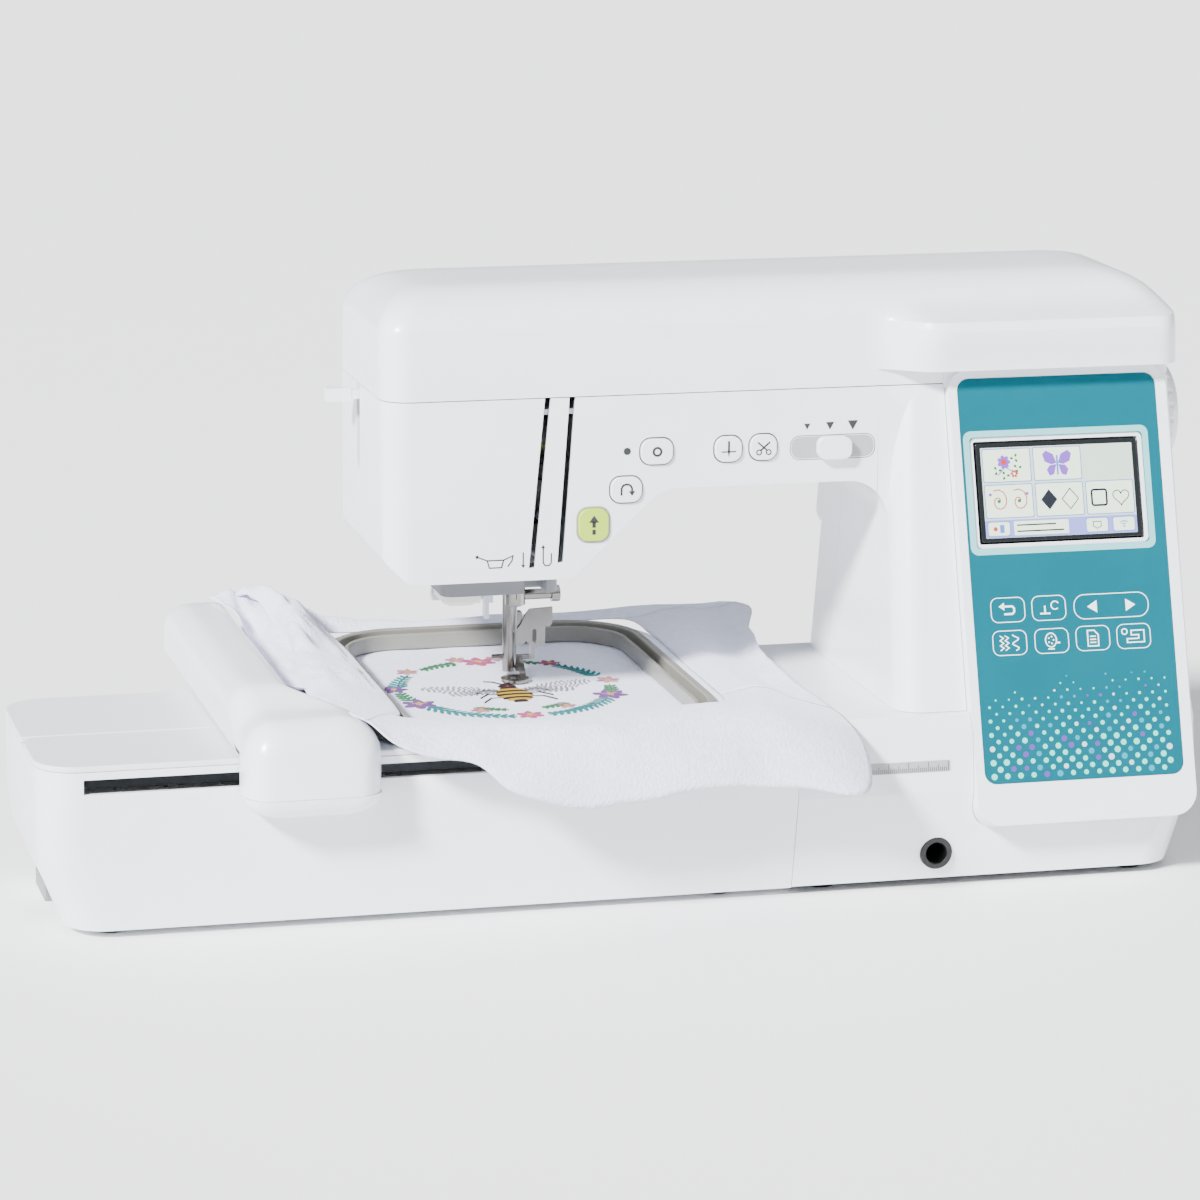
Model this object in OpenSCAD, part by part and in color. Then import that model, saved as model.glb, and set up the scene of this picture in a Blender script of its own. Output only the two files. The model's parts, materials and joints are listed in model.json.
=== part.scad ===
// Home embroidery machine with its embroidery unit, carriage, hoop and hooped cloth.
// X runs to the right, Y to the back and Z up. Lengths are measured from the needle and from the
// table, and placed() then moves the whole machine so that its origin is under its middle.

/* [Machine body] */
// Needle to the left end of the head
head_left = 76; // [74:1:80]
// Needle to the right side of the column
body_right = 320; // [318:1:330]
// Needle to the seam between the embroidery unit and the base
base_left = 113; // [112:1:116]
// Needle to the front wall of the base
base_front = 112; // [111:1:114]
// Needle to the back wall of the base
base_back = 66; // [65:1:72]
// Height of the bed, the needle plate and the top of the unit
bed_h = 86; // [86:1:86]
// Height of the whole machine
machine_h = 289; // [286:1:296]
// Height of the seam under the top cover
seam_h = 238; // [238:1:240]
// Height of the underside of the head
head_low = 150; // [148:1:152]
// Height of the underside of the arm
arm_low = 192; // [188:1:194]
// Needle to the front face of the head
arm_front = 52; // [51:1:54]
// Needle to the back face of the arm
arm_back = 62; // [60:1:64]
// Wall thickness of the casings
wall = 2.5; // [2.2:0.1:2.8]

/* [Control panel] */
// How far the panel leans back
lean = 17.4; // [17:0.1:18]
// Width of the panel frame
panel_w = 112; // [108:1:112]
// Height of the panel frame along its slope
panel_l = 222; // [218:1:223]
// Width of the display glass
display_w = 82.5; // [80:0.5:84]
// Height of the display glass
display_l = 48; // [46:0.5:50]

/* [Embroidery unit] */
// Needle to the left end of the unit
unit_left = 250; // [248:1:260]
// Needle to the back of the unit's left block
unit_back = 24; // [20:1:30]
// Thickness of the unit's top plates
plate_t = 3; // [2.5:0.5:3]
// Lower edge of the long front slot
slot_low = 72.5; // [72:0.5:73]
// Upper edge of the long front slot
slot_high = 79.5; // [79:0.5:80]

/* [Carriage and hoop] */
// Height of the carriage arm
carriage_h = 113; // [112:1:116]
// Width inside the inner hoop frame
hoop_w = 140; // [138:1:140]
// Length inside the inner hoop frame
hoop_l = 190; // [186:1:192]
// Width of the inner hoop frame's rim
hoop_rim = 10; // [9:0.5:10]
// Thickness of the outer hoop frame
outer_rim = 5; // [4:0.5:5]

/* [Hidden] */
$fn = 48;
hull_fn = 32;
gap = 0.3;
fit = 0.05;
eps = 0.02;

// the whole machine's box, from which the origin is taken
wheel_right = body_right + 16;
cloth_front = 150;
carriage_back = 106;
mid_x = (wheel_right - unit_left) / 2;
mid_y = (carriage_back - cloth_front) / 2;

// base
foot_h = 4;
front_taper = 10;
ruler_h = 50;
round_r = 20;
split_y = 20;
head_seam = 68;
column_seam = 168;

// column: its left side and front at the bed and at the seam
column_left_low = 166;
column_left_high = 178;
column_front_low = 101;
column_front_high = arm_front;
throat_r = 20;

// panel: the lower edge of its front plane
panel_x = 201;
panel_y = -121.3;
panel_z = 34;
panel_t = 14;
overlay_margin = 5.5;
display_x = 12;
display_z = 137;

// shafts
shaft_y = 6;
shaft_z = 210;
shaft_r = 5;
lower_y = -2;
lower_z = 46;
lower_r = 4;
hook_x = -1;
hook_y = -19;
hook_r = 18;
belt_x = 262;
pulley_r = 16;
needle_bar_r = 3.2;
presser_x = 0.3;
presser_y = 16;
presser_r = 3;
presser_top = 221;
foot_stem = 100;
foot_low = 88.4;
foot_plate_t = 1.6;
cover_low = 141.6;
threader_x = -38;
threader_y = 10;
hook_gear_r = 5.3;
take_up_y = -16;
take_up_z = 203;
take_up_pin_r = 2.45;
take_up_reach = 24;
take_up_slope = -0.62;
lifter_x = -10;
lifter_z = 172;
lifter_r = 4;

// socket of the knee lifter
socket_x = 184.5;
socket_z = 18;
socket_r = 8;

// controls on the head's front: centre x, centre z, width, height
start_at = [26, 176, 15, 16];
reverse_at = [42, 192.5, 15.5, 12.5];
reinforce_at = [57, 210.5, 16, 12.5];
needle_pos_at = [92.5, 210.3, 13.5, 12.5];
cutter_at = [110, 210.5, 13.5, 12.5];
slider_at = [145, 209.3, 44, 15];
knob_w = 17;

// carriage
arm_x0 = -157;
arm_x1 = -125;
shelf_x1 = -96;
lump_x1 = -92;
lump_front = 135;
lump_back = 98;
float_h = 87.8;
rail_x = -141;
rail_z = 99;
x_rail_y = -92;
x_rail_z = 66;

// hoop
hoop_x = -2.5;
hoop_y = -17;
cloth_t = 0.6;
cloth_z = 87;
holder_half = 12;
stitch_spots = [[0, 0], [-56, -98], [48, 50], [-56, 50], [48, -98]];

// ---------- shared shapes ----------
module placed() {
  translate([-mid_x, -mid_y, 0]) children();
}

// box between two corners
module block(low, high) {
  translate(low) cube(high - low);
}

// rectangle with rounded corners between two corners
module round_rect(x0, y0, x1, y1, r) {
  offset(r = r, $fn = hull_fn) translate([x0 + r, y0 + r]) square([x1 - x0 - 2 * r, y1 - y0 - 2 * r]);
}

// upright prism on a rounded rectangle
module round_block(x0, y0, x1, y1, z0, z1, r) {
  translate([0, 0, z0]) linear_extrude(z1 - z0) round_rect(x0, y0, x1, y1, r);
}

// rod along X, along Y or upright, from one end to the other
module rod_x(x0, x1, y, z, r) {
  translate([x0, y, z]) rotate([0, 90, 0]) cylinder(h = x1 - x0, r = r);
}
module rod_y(y0, y1, x, z, r) {
  translate([x, y1, z]) rotate([90, 0, 0]) cylinder(h = y1 - y0, r = r);
}
module rod_z(z0, z1, x, y, r) {
  translate([x, y, z0]) cylinder(h = z1 - z0, r = r);
}

// rounded outline on the head's front, extruded along Y
module front_prism(at, grow, y0, y1, r) {
  w = at[2] / 2 + grow;
  h = at[3] / 2 + grow;
  translate([at[0], y1, at[1]]) rotate([90, 0, 0])
    linear_extrude(y1 - y0) round_rect(-w, -h, w, h, r + grow);
}

// frame of the leaning panel: x along the panel, y into it, z up its slope
module on_panel() {
  translate([panel_x, panel_y, panel_z]) rotate([-lean, 0, 0]) children();
}
module panel_plate(x0, z0, x1, z1, y0, y1, r) {
  on_panel() translate([0, y1, 0]) rotate([90, 0, 0]) linear_extrude(y1 - y0) round_rect(x0, z0, x1, z1, r);
}

// ---------- casing volumes; g is how far they are drawn in ----------
module base_volume(g) {
  intersection() {
    hull() {
      round_block(base_left - 30, -base_front + front_taper + g, body_right - 10 - g, base_back - 8 - g,
        foot_h, foot_h + eps, round_r - g);
      round_block(base_left - 30, -base_front + g, body_right - g, base_back - g,
        ruler_h, ruler_h + eps, round_r - g);
      round_block(base_left - 30, -base_front + 3.5 + g, body_right - g, base_back - 3 - g,
        bed_h - 9, bed_h - 9 + eps, round_r - g);
      round_block(base_left - 30, -base_front + 9 + g, body_right - g, base_back - 8 - g,
        bed_h - eps - g, bed_h - g, round_r - g);
    }
    block([base_left + g, -200, 0], [body_right + 10, 200, bed_h]);
  }
}

module column_volume(g) {
  hull() {
    round_block(column_left_low + g, -column_front_low + g, body_right - g, arm_back - g,
      bed_h - 8, bed_h - 8 + eps, 14 - g);
    round_block(column_left_high + g, -column_front_high + g, body_right - g, arm_back - g,
      seam_h - eps, seam_h, 14 - g);
  }
}

// outline of the head and the arm seen from the front
module arm_outline(g) {
  offset(delta = -g) offset(r = -throat_r, $fn = hull_fn) offset(delta = throat_r)
    offset(r = 9, $fn = hull_fn) offset(delta = -9)
      polygon([
        [-head_left, seam_h + 20], [-head_left, head_low + 12], [-head_left + 12, head_low],
        [16, head_low], [60, arm_low], [column_left_low + 9, arm_low], [column_left_low + 5.5, bed_h + 60],
        [body_right - 20, bed_h + 60], [body_right - 20, seam_h + 20]
      ]);
}

module arm_volume(g) {
  intersection() {
    translate([0, arm_back - g, 0]) rotate([90, 0, 0])
      linear_extrude(arm_front + arm_back - 2 * g) arm_outline(g);
    round_block(-head_left + g, -arm_front + g, body_right, arm_back - g, 0, seam_h, 14 - g);
  }
}

module casing_wall() {
  difference() {
    union() {
      base_volume(0);
      column_volume(0);
      arm_volume(0);
    }
    difference() {
      base_volume(wall);
      block([base_left, -200, -1], [body_right, 200, foot_h - eps]);
    }
    translate([0, 0, -0.5]) linear_extrude(foot_h + 1) square(1000, center = true);
    column_volume(wall);
    arm_volume(wall);
    block([-head_left + 12, -arm_front + 12, seam_h - 1], [body_right - 14, arm_back - 12, seam_h + 1]);
    // column cavity runs on down into the base
    block([column_left_low + 14, -80, bed_h - 20], [body_right - 16, arm_back - 14, bed_h + 10]);
    // free arm and embroidery unit reach in through the left wall
    block([base_left - 1, -30, 26], [base_left + 5, 50, 78]);
  }
}

// thread slot: a narrow leaning channel in the head's front
module thread_slot(top_x, bottom_x, low_z) {
  shear = (top_x - bottom_x) / (seam_h - low_z);
  multmatrix([[1, 0, shear, bottom_x - shear * low_z], [0, 1, 0, 0], [0, 0, 1, 0]])
    block([-1.5, -arm_front - 5, low_z], [1.5, -arm_front + wall + 2, seam_h + 2]);
}

// seams that part the head from the arm and the arm from the column
module casing_seams() {
  for (x = [head_seam, column_seam])
    block([x, -200, arm_low - 12], [x + 0.2, 200, seam_h + 1]);
}

module base_casing() {
  color("white") placed() difference() {
    intersection() {
      casing_wall();
      block([base_left - 5, -200, 0], [body_right + 5, 200, bed_h]);
    }
    panel_plate(-gap, -gap, panel_w + gap, panel_l + gap, -2, panel_t, 12);
    rod_y(-130, -90, socket_x, socket_z, socket_r + fit);
    for (y = [[1, 17, 54.6, 77.4], [24.7, 51.3, 55, 77]])
      block([body_right - 6, y[0], y[2]], [body_right + 6, y[1], y[3]]);
  }
}

module front_casing() {
  color("white") placed() difference() {
    intersection() {
      casing_wall();
      block([-head_left - 5, -200, bed_h + 0.2], [body_right + 5, split_y, seam_h]);
    }
    casing_seams();
    for (at = [start_at, reverse_at, reinforce_at, needle_pos_at, cutter_at])
      front_prism(at, gap, -arm_front - 5, -arm_front + 8, 5);
    front_prism([slider_at[0], slider_at[1], slider_at[2] - 6, 5], 0, -arm_front - 5, -arm_front + 8, 2);
    thread_slot(3.5, -4, head_low + 6);
    thread_slot(15.5, 10, head_low + 8);
    panel_plate(-gap, -gap, panel_w + gap, panel_l + gap, -2, panel_t, 12);
    // bottom of the head, open around the needle
    block([-42, -24, head_low - 1], [9.5, 60, head_low + 6]);
    // slot for the needle threader's lever
    block([-head_left - 1, threader_y - 4, 196], [-head_left + 6, threader_y + 4, seam_h + 1]);
    rod_x(body_right - 6, body_right + 6, shaft_y, shaft_z, 12.5);
  }
}

module rear_casing() {
  color("whitesmoke") placed() {
    difference() {
      intersection() {
        casing_wall();
        block([-head_left - 5, split_y + 0.2, bed_h + 0.2], [body_right + 5, 200, seam_h]);
      }
      casing_seams();
      block([-42, -24, head_low - 1], [9.5, 48, head_low + 6]);
      rod_y(50, 70, lifter_x, lifter_z, lifter_r + 0.2);
      // cooling slots
      for (i = [0:7])
        block([220 + i * 9, arm_back - 6, 110], [223 + i * 9, arm_back + 6, 150]);
    }
    // hinge lugs with their fixed pins
    for (x = [30, 230]) {
      for (side = [-15, 10.5])
        difference() {
          block([x + side, arm_back - 0.4, seam_h - 12], [x + side + 4.5, arm_back + 7, seam_h + 4.5]);
          block([x + side - 1, arm_back - 1, seam_h + 0.2], [x + side + 6, arm_back + 0.4, seam_h + 6]);
        }
      rod_x(x - 14, x + 14, arm_back + 4, seam_h + 2, 1.5);
    }
  }
}

// ---------- top cover ----------
module cover_volume(g) {
  drop = 21;
  bulge = 18;
  bulge_drop = 18.5;
  hull() {
    round_block(-head_left + g, -arm_front + g, body_right - g, arm_back - g, seam_h + 0.5, seam_h + 1, 14 - g);
    for (a = [0:15:90])
      round_block(-head_left + g + 28 * (1 - cos(a)), -arm_front + g + 3 + 34 * (1 - cos(a)),
        body_right - g - 2 - 34 * (1 - cos(a)), arm_back - g - 2 - 30 * (1 - cos(a)),
        machine_h - drop + (drop - g) * sin(a), machine_h - drop + (drop - g) * sin(a) + eps, 14 - g);
  }
  hull() {
    // the part over the panel stands further forward, and slopes up to the crown
    round_block(170 + g, -arm_front + g, 240, 0, seam_h + 8, machine_h - bulge_drop, 4);
    round_block(180 + g, -arm_front - bulge + 4 + g, body_right - g, 0, seam_h + 8, seam_h + 9, 10);
    round_block(180 + g, -arm_front - bulge + g, body_right - 2 - g, 0, machine_h - 24, machine_h - 23.5, 10);
    for (a = [0:18:90])
      round_block(182 + g + 16 * (1 - cos(a)), -arm_front - bulge + 1 + g + 66 * sin(a),
        body_right - g - 3 - 31 * (1 - cos(a)), 30,
        machine_h - bulge_drop + (bulge_drop - 0.5 - g) * sin(a),
        machine_h - bulge_drop + (bulge_drop - 0.5 - g) * sin(a) + eps, 14 - g);
  }
}

module top_cover() {
  color("white") placed() {
    difference() {
      cover_volume(0);
      difference() {
        cover_volume(wall);
        block([-100, -200, 0], [400, 200, seam_h + 0.4]);
      }
      block([-head_left + wall, -arm_front + wall, seam_h - 1], [body_right - wall, arm_back - wall, seam_h + 1.2]);
      block([190, -arm_front + 1, seam_h - 1], [body_right - wall, 0, seam_h + 14]);
      // clear of the panel's head and of the hinge lugs
      panel_plate(-1, -1, panel_w + 1, panel_l + 0.6, -4, panel_t + 1, 10);
      for (x = [30, 230])
        for (side = [-16, 9.5])
          block([x + side, arm_back - 1, seam_h], [x + side + 6.5, arm_back + 9, seam_h + 8]);
    }
    for (x = [30, 230])
      difference() {
        union() {
          rod_x(x - 8, x + 8, arm_back + 4, seam_h + 2, 3);
          block([x - 8, arm_back - 0.5, seam_h + 1], [x + 8, arm_back + 4, seam_h + 5]);
        }
        rod_x(x - 9, x + 9, arm_back + 4, seam_h + 2, 1.5 + fit);
      }
  }
}

module bottom_plate() {
  color("gainsboro") placed() difference() {
    round_block(base_left + wall + 1, -base_front + front_taper + wall + 1.5, body_right - 14.5, base_back - 12.5,
      foot_h, foot_h + 2.4, 14);
    for (x = [140:12:260])
      block([x, -10, 0], [x + 4, 30, 20]);
  }
}

foot_spots = [
  [132, -84], [132, 38], [290, -84], [290, 38],
  [-214, -84], [-214, 4], [80, -84]
];
module rubber_feet() {
  color("dimgray") placed() for (p = foot_spots)
    translate([p[0], p[1], 0]) cylinder(h = foot_h, r1 = 8, r2 = 9);
}

module free_arm_cover() {
  color("whitesmoke") placed() difference() {
    round_block(-92, -45, base_left - 0.3, 60, 20, bed_h - 0.2, 12);
    intersection() {
      round_block(-92 + wall, -45 + wall, base_left + 30, 60 - wall, 20 + wall, bed_h - 4.2, 10);
      block([-200, -200, 0], [base_left + 5, 200, 200]);
    }
    // seat of the needle plate, open inside its ledge
    block([-27.2, -46, bed_h - 2], [35.2, 35.2, bed_h + 1]);
    block([-20, -40, bed_h - 6], [32, 32, bed_h + 1]);
  }
}

// ---------- control panel ----------
module panel_frame() {
  color("white") placed() difference() {
    panel_plate(0, 0, panel_w, panel_l, 0, panel_t, 12);
    panel_plate(overlay_margin - 1, 20, panel_w - overlay_margin, panel_l - 5, -1, 1.2, 6);
    panel_plate(display_x - 1, display_z - 1, display_x + display_w + 1, display_z + display_l + 1, 0, panel_t + 1, 1);
    panel_plate(display_x - 5, display_z - 5, display_x + display_w + 5, display_z + display_l + 5, 6, panel_t + 1, 1);
  }
}

module panel_overlay() {
  color("darkcyan") placed() difference() {
    panel_plate(overlay_margin - 0.8, 20.2, panel_w - overlay_margin - 0.2, panel_l - 5.2, 0.3, 1.2, 6);
    panel_plate(display_x - 3, display_z - 3, display_x + display_w + 3, display_z + display_l + 3, -1, 3, 3);
  }
}

module display_module() {
  color("black") placed() {
    panel_plate(display_x, display_z, display_x + display_w, display_z + display_l, 0.6, 6, 0.8);
    panel_plate(display_x - 4, display_z - 4, display_x + display_w + 4, display_z + display_l + 4, 6, 11, 0.8);
  }
}

// ---------- bed ----------
module needle_plate() {
  color("silver") placed() difference() {
    block([-27, -45, bed_h - 2], [35, 35, bed_h]);
    block([-22, -43, bed_h - 5], [20, -6, bed_h + 1]);
    rod_z(bed_h - 5, bed_h + 1, 0, 0, 3.2);
    for (x = [-15.5, 7.5])
      block([x, 1.5, bed_h - 5], [x + 7, 26.5, bed_h + 1]);
  }
}

module bobbin_cover() {
  color("lightgray") placed() block([-21.8, -42.8, bed_h - 2], [19.8, -6.2, bed_h]);
}

module bobbin_case() {
  color("black") placed() difference() {
    rod_z(61, 79, hook_x, hook_y, 15.4);
    rod_z(63, 80, hook_x, hook_y, 11.5);
  }
}

module bobbin() {
  color("lightcyan") placed() difference() {
    union() {
      rod_z(63.3, 64.5, hook_x, hook_y, 10.3);
      rod_z(63.3, 75, hook_x, hook_y, 5);
      rod_z(73.8, 75, hook_x, hook_y, 10.3);
    }
    rod_z(60, 80, hook_x, hook_y, 3);
  }
}

module rotary_hook() {
  color("silver") placed() difference() {
    union() {
      rod_z(58, 76, hook_x, hook_y, hook_r);
      rod_z(38, 58, hook_x, hook_y, 3);
      rod_z(42, 50, hook_x, hook_y, hook_gear_r);
    }
    rod_z(60.5, 80, hook_x, hook_y, 16);
  }
}

module feed_dogs() {
  color("gray") placed() {
    for (x = [-15, 8])
      difference() {
        block([x, 2, 79], [x + 6, 26, bed_h - 2.5]);
        for (y = [4:3:24])
          translate([x - 1, y, bed_h - 2.5]) rotate([45, 0, 0]) cube([8, 0.9, 0.9]);
      }
    block([-15, 10, 75], [14, 26, 79.5]);
  }
}

// ---------- inner mechanism ----------
module frame_casting() {
  color("slategray") placed() difference() {
    union() {
      block([-30, 25, 196], [300, 40, 220]);
      block([190, 28, 34], [206, 44, 200]);
      block([-60, 28, 34], [296, 44, 58]);
      // bearing blocks of the main shaft
      for (x = [22, 150, 292])
        block([x, -4, 200], [x + 8, 26, 220]);
      // bearing blocks of the lower shaft
      for (x = [20, 240])
        block([x, -10, 38], [x + 8, 29, 54]);
      // guides of the needle bar and the presser bar
      block([-10, -8, 158], [12, 26, 168]);
      block([-10, -8, 184], [12, 26, 190]);
      block([-30, 25, 158], [12, 34, 200]);
      // bearing of the hook
      block([hook_x - 9, hook_y - 7, 52], [hook_x + 9, hook_y + 7, 57.5]);
      for (x = [-9, 5.5])
        block([hook_x + x, hook_y + 4, 54.5], [hook_x + x + 3.5, 29, 57.5]);
      // arm and pin of the take-up lever
      block([-10, take_up_y - 5, 184], [-6, -7, take_up_z + 5]);
    }
    rod_x(15, 305, shaft_y, shaft_z, shaft_r + fit);
    rod_x(15, 255, lower_y, lower_z, lower_r + fit);
    rod_z(150, 195, 0, 0, needle_bar_r + fit);
    rod_z(150, 195, presser_x, presser_y, presser_r + fit);
    rod_z(50, 60, hook_x, hook_y, 3 + fit);
  }
  color("slategray") placed() rod_x(-7, 3.5, take_up_y, take_up_z, take_up_pin_r);
}

module main_shaft() {
  color("silver") placed() {
    rod_x(13, 326, shaft_y, shaft_z, shaft_r);
    // crank with its pin
    rod_x(8, 13.5, shaft_y, shaft_z, 15);
    rod_x(5.6, 9, shaft_y, shaft_z + 11, 2.5);
    // pulley with flanges
    rod_x(belt_x, belt_x + 8, shaft_y, shaft_z, pulley_r);
    for (x = [belt_x - 1.5, belt_x + 8])
      rod_x(x, x + 1.5, shaft_y, shaft_z, pulley_r + 3);
  }
}

module handwheel() {
  color("white") placed() difference() {
    union() {
      rod_x(body_right + 2, wheel_right - 4, shaft_y, shaft_z, 28);
      translate([wheel_right - 4, shaft_y, shaft_z]) rotate([0, 90, 0]) cylinder(h = 4, r1 = 28, r2 = 24);
      rod_x(body_right - 4, body_right + 3, shaft_y, shaft_z, 11);
    }
    rod_x(body_right - 6, 326, shaft_y, shaft_z, shaft_r);
    for (i = [0:23])
      translate([0, shaft_y, shaft_z]) rotate([i * 15, 0, 0]) rod_x(body_right, wheel_right + 1, 29.2, 0, 2);
  }
}

// loop round both pulleys, between two places along X
module belt_loop(x0, x1, r) {
  hull() {
    rod_x(x0, x1, shaft_y, shaft_z, r, $fn = hull_fn);
    rod_x(x0, x1, lower_y, lower_z, r, $fn = hull_fn);
  }
}
module timing_belt() {
  color("black") placed() difference() {
    belt_loop(belt_x + 1, belt_x + 7, pulley_r + 2);
    belt_loop(belt_x, belt_x + 8, pulley_r + 0.4);
  }
}

module lower_shaft() {
  color("silver") placed() {
    rod_x(-6, belt_x + 10, lower_y, lower_z, lower_r);
    rod_x(hook_x - 4, hook_x + 4, lower_y, lower_z, 2 * hook_gear_r);
    rod_x(belt_x, belt_x + 8, lower_y, lower_z, pulley_r);
    for (x = [belt_x - 1.5, belt_x + 8])
      rod_x(x, x + 1.5, lower_y, lower_z, pulley_r + 3);
  }
}

module main_motor() {
  color("dimgray") placed() {
    rod_x(205, 246, -22, 122, 21);
    rod_x(246, 258, -22, 122, 3);
    rod_x(250, 257, -22, 122, 7);
    // bracket to the frame
    block([196, -22, 112], [205.5, 27.9, 132]);
  }
}

module needle_bar() {
  color("silver") placed() rod_z(126, 225, 0, 0, needle_bar_r);
}

module needle_clamp() {
  color("silver") placed() difference() {
    union() {
      rod_z(127, 136, 0, 0, 5);
      rod_x(2, 18, 0, 131.5, 2.6);
      rod_x(17.9, 22, 0, 131.5, 4);
    }
    rod_z(120, 140, 0, 0, needle_bar_r);
  }
}

module needle() {
  color("silver") placed() {
    rod_z(113, 126, 0, 0, 1);
    rod_z(99, 113.2, 0, 0, 0.6);
    translate([0, 0, 96]) cylinder(h = 3.1, r1 = 0.1, r2 = 0.6);
  }
}

module take_up_lever() {
  color("silver") placed() difference() {
    union() {
      rod_x(-2.5, 2.5, take_up_y, take_up_z, 5);
      multmatrix([[1, 0, 0, 0], [0, 1, 0, take_up_y], [0, take_up_slope, 1, take_up_z]])
        block([-1, -take_up_reach, -3], [1, 0, 3]);
      rod_x(-1, 1, take_up_y - take_up_reach, take_up_z - take_up_slope * take_up_reach, 3.5);
    }
    rod_x(-3, 3, take_up_y, take_up_z, take_up_pin_r + fit);
    rod_x(-3, 3, take_up_y - take_up_reach, take_up_z - take_up_slope * take_up_reach, 1.2);
  }
}

module presser_bar() {
  color("silver") placed() rod_z(foot_stem, presser_top, presser_x, presser_y, presser_r);
}

// side plate of the foot, seen from the front
module foot_plate() {
  translate([0, presser_y, 0]) rotate([90, 0, 0]) linear_extrude(foot_plate_t) difference() {
    polygon([
      [3.4, 103], [3.4, 109.6], [6.3, 113], [8.4, 117.6], [10.8, 120.6], [22.4, 121.2], [22.4, 113],
      [20.6, 111.2], [18.7, 111.8], [18.6, 101.6], [14.4, 101.3], [13.8, 103.6], [10.4, 102.6],
      [9.4, 105], [7.4, 102.8]
    ]);
    hull()
      for (z = [104.6, 109.4])
        translate([13.3, z]) circle(r = 1.1);
  }
}

module embroidery_foot() {
  color("silver") placed() {
    foot_plate();
    rod_z(foot_low + 1.2, foot_stem, presser_x, presser_y, presser_r - 0.1);
    difference() {
      block([presser_x + 1, presser_y - 0.2, 104], [presser_x + 7, presser_y + 5, 119]);
      rod_z(foot_stem, 130, presser_x, presser_y, presser_r);
    }
    rod_x(presser_x - 8.5, presser_x, presser_y, 97, 1.3);
    rod_x(presser_x, presser_x + 10.5, presser_y, 96.4, 1.3);
    block([presser_x + 11, presser_y - 1.4, 95.2], [presser_x + 13, presser_y, 104]);
    // leg that comes forward to the ring
    hull() {
      block([3, presser_y - 2, 91.5], [7, presser_y - 1, 97.2]);
      block([3, 3.4, foot_low + 0.2], [6.4, 5, 91]);
    }
    difference() {
      rod_z(foot_low, foot_low + 1.4, 0, 0, 7);
      rod_z(foot_low - 1, foot_low + 2, 0, 0, 3);
    }
  }
}

module presser_lifter() {
  color("gainsboro") placed() {
    rod_y(42, arm_back + 2, lifter_x, lifter_z, lifter_r);
    hull() {
      rod_y(arm_back + 1.5, arm_back + 6, lifter_x, lifter_z, 6, $fn = hull_fn);
      rod_y(arm_back + 2, arm_back + 6, lifter_x + 22, lifter_z - 22, 4, $fn = hull_fn);
    }
  }
}

module threader() {
  color("gainsboro") placed() {
    rod_z(129, 236, threader_x, threader_y, 2);
    block([-head_left - 12, threader_y - 3, 230.5], [threader_x, threader_y + 3, 235]);
    block([-head_left - 16, threader_y - 3.4, 229.5], [-head_left - 4, threader_y + 3.4, 236]);
    block([threader_x - 2, threader_y - 3, 129], [-12, threader_y + 2, 133]);
    block([-16, -4, 129], [-12, threader_y + 2, 133]);
    block([-16, -4, 121], [-14, 2, 131]);
  }
}

module led_lamp() {
  color("ivory") placed() {
    block([-44, -39, 137], [-26, -14, cover_low]);
    block([-41, -36, 135.4], [-29, -17, 137.1]);
  }
}

module needle_area_cover() {
  color("gray") placed() difference() {
    round_block(-46, -44, 11.5, 52, cover_low, head_low, 6);
    block([-40, -38, 146], [6, 46, 155]);
    block([threader_x - 5, threader_y - 6, 140], [threader_x + 5, threader_y + 6, 155]);
    block([-18, -12, 140], [9.5, 24, 155]);
    // left free for the thread
    block([-6, -50, 138], [5, -30, 155]);
  }
}

module upper_deck() {
  color("whitesmoke") placed() difference() {
    round_block(-head_left + wall + 1, -arm_front + wall + 1, 258, arm_back - wall - 1, 229.5, 232, 12);
    block([-head_left, threader_y - 6, 228], [threader_x + 6, threader_y + 6, 234]);
    thread_slot(3.5, -4, head_low + 6);
    thread_slot(15.5, 10, head_low + 8);
    panel_plate(-1, -1, panel_w + 1, panel_l + 1, -4, panel_t + 0.4, 10);
    rod_z(225, 235, 215, -8, 3.4);
    block([211, -11.4, 225], [227, -4.6, 235]);
  }
}

module spool_pin() {
  color("gainsboro") placed() {
    block([52, -4, 232], [60, 14, 262]);
    rod_x(59, 158, 5, 252, 2.8);
    // cap that holds the spool
    difference() {
      rod_x(139, 145, 5, 252, 15);
      rod_x(138, 146, 5, 252, 2.8);
    }
  }
}

module thread_spool() {
  color("mediumseagreen") placed() difference() {
    union() {
      rod_x(72, 76, 5, 252, 13);
      rod_x(76, 132, 5, 252, 11);
      rod_x(132, 136, 5, 252, 13);
    }
    rod_x(70, 140, 5, 252, 3.2);
  }
}

module bobbin_winder() {
  color("white") placed() {
    rod_z(222, 254, 215, -8, 3);
    rod_z(232.3, 236, 215, -8, 8);
  }
}

// ---------- controls ----------
module button(at, r) {
  front_prism(at, 0, -arm_front - 1.6, -arm_front + 3, r);
  front_prism([at[0], at[1], at[2] - 4, at[3] - 4], 0, -arm_front + 2.9, -arm_front + 6, 2);
}
module start_stop_button() {
  color("yellowgreen") placed() button(start_at, 5);
}
module reverse_button() {
  color("white") placed() button(reverse_at, 5);
}
module reinforcement_button() {
  color("white") placed() button(reinforce_at, 5);
}
module needle_position_button() {
  color("white") placed() button(needle_pos_at, 5);
}
module thread_cutter_button() {
  color("white") placed() button(cutter_at, 5);
}

module speed_slider() {
  color("white") placed() {
    front_prism([slider_at[0], slider_at[1], knob_w, 11], 0, -arm_front - 5, -arm_front - gap, 4);
    front_prism([slider_at[0], slider_at[1], 8, 4.4], 0, -arm_front - 1, -arm_front + 6, 1);
  }
}

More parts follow.
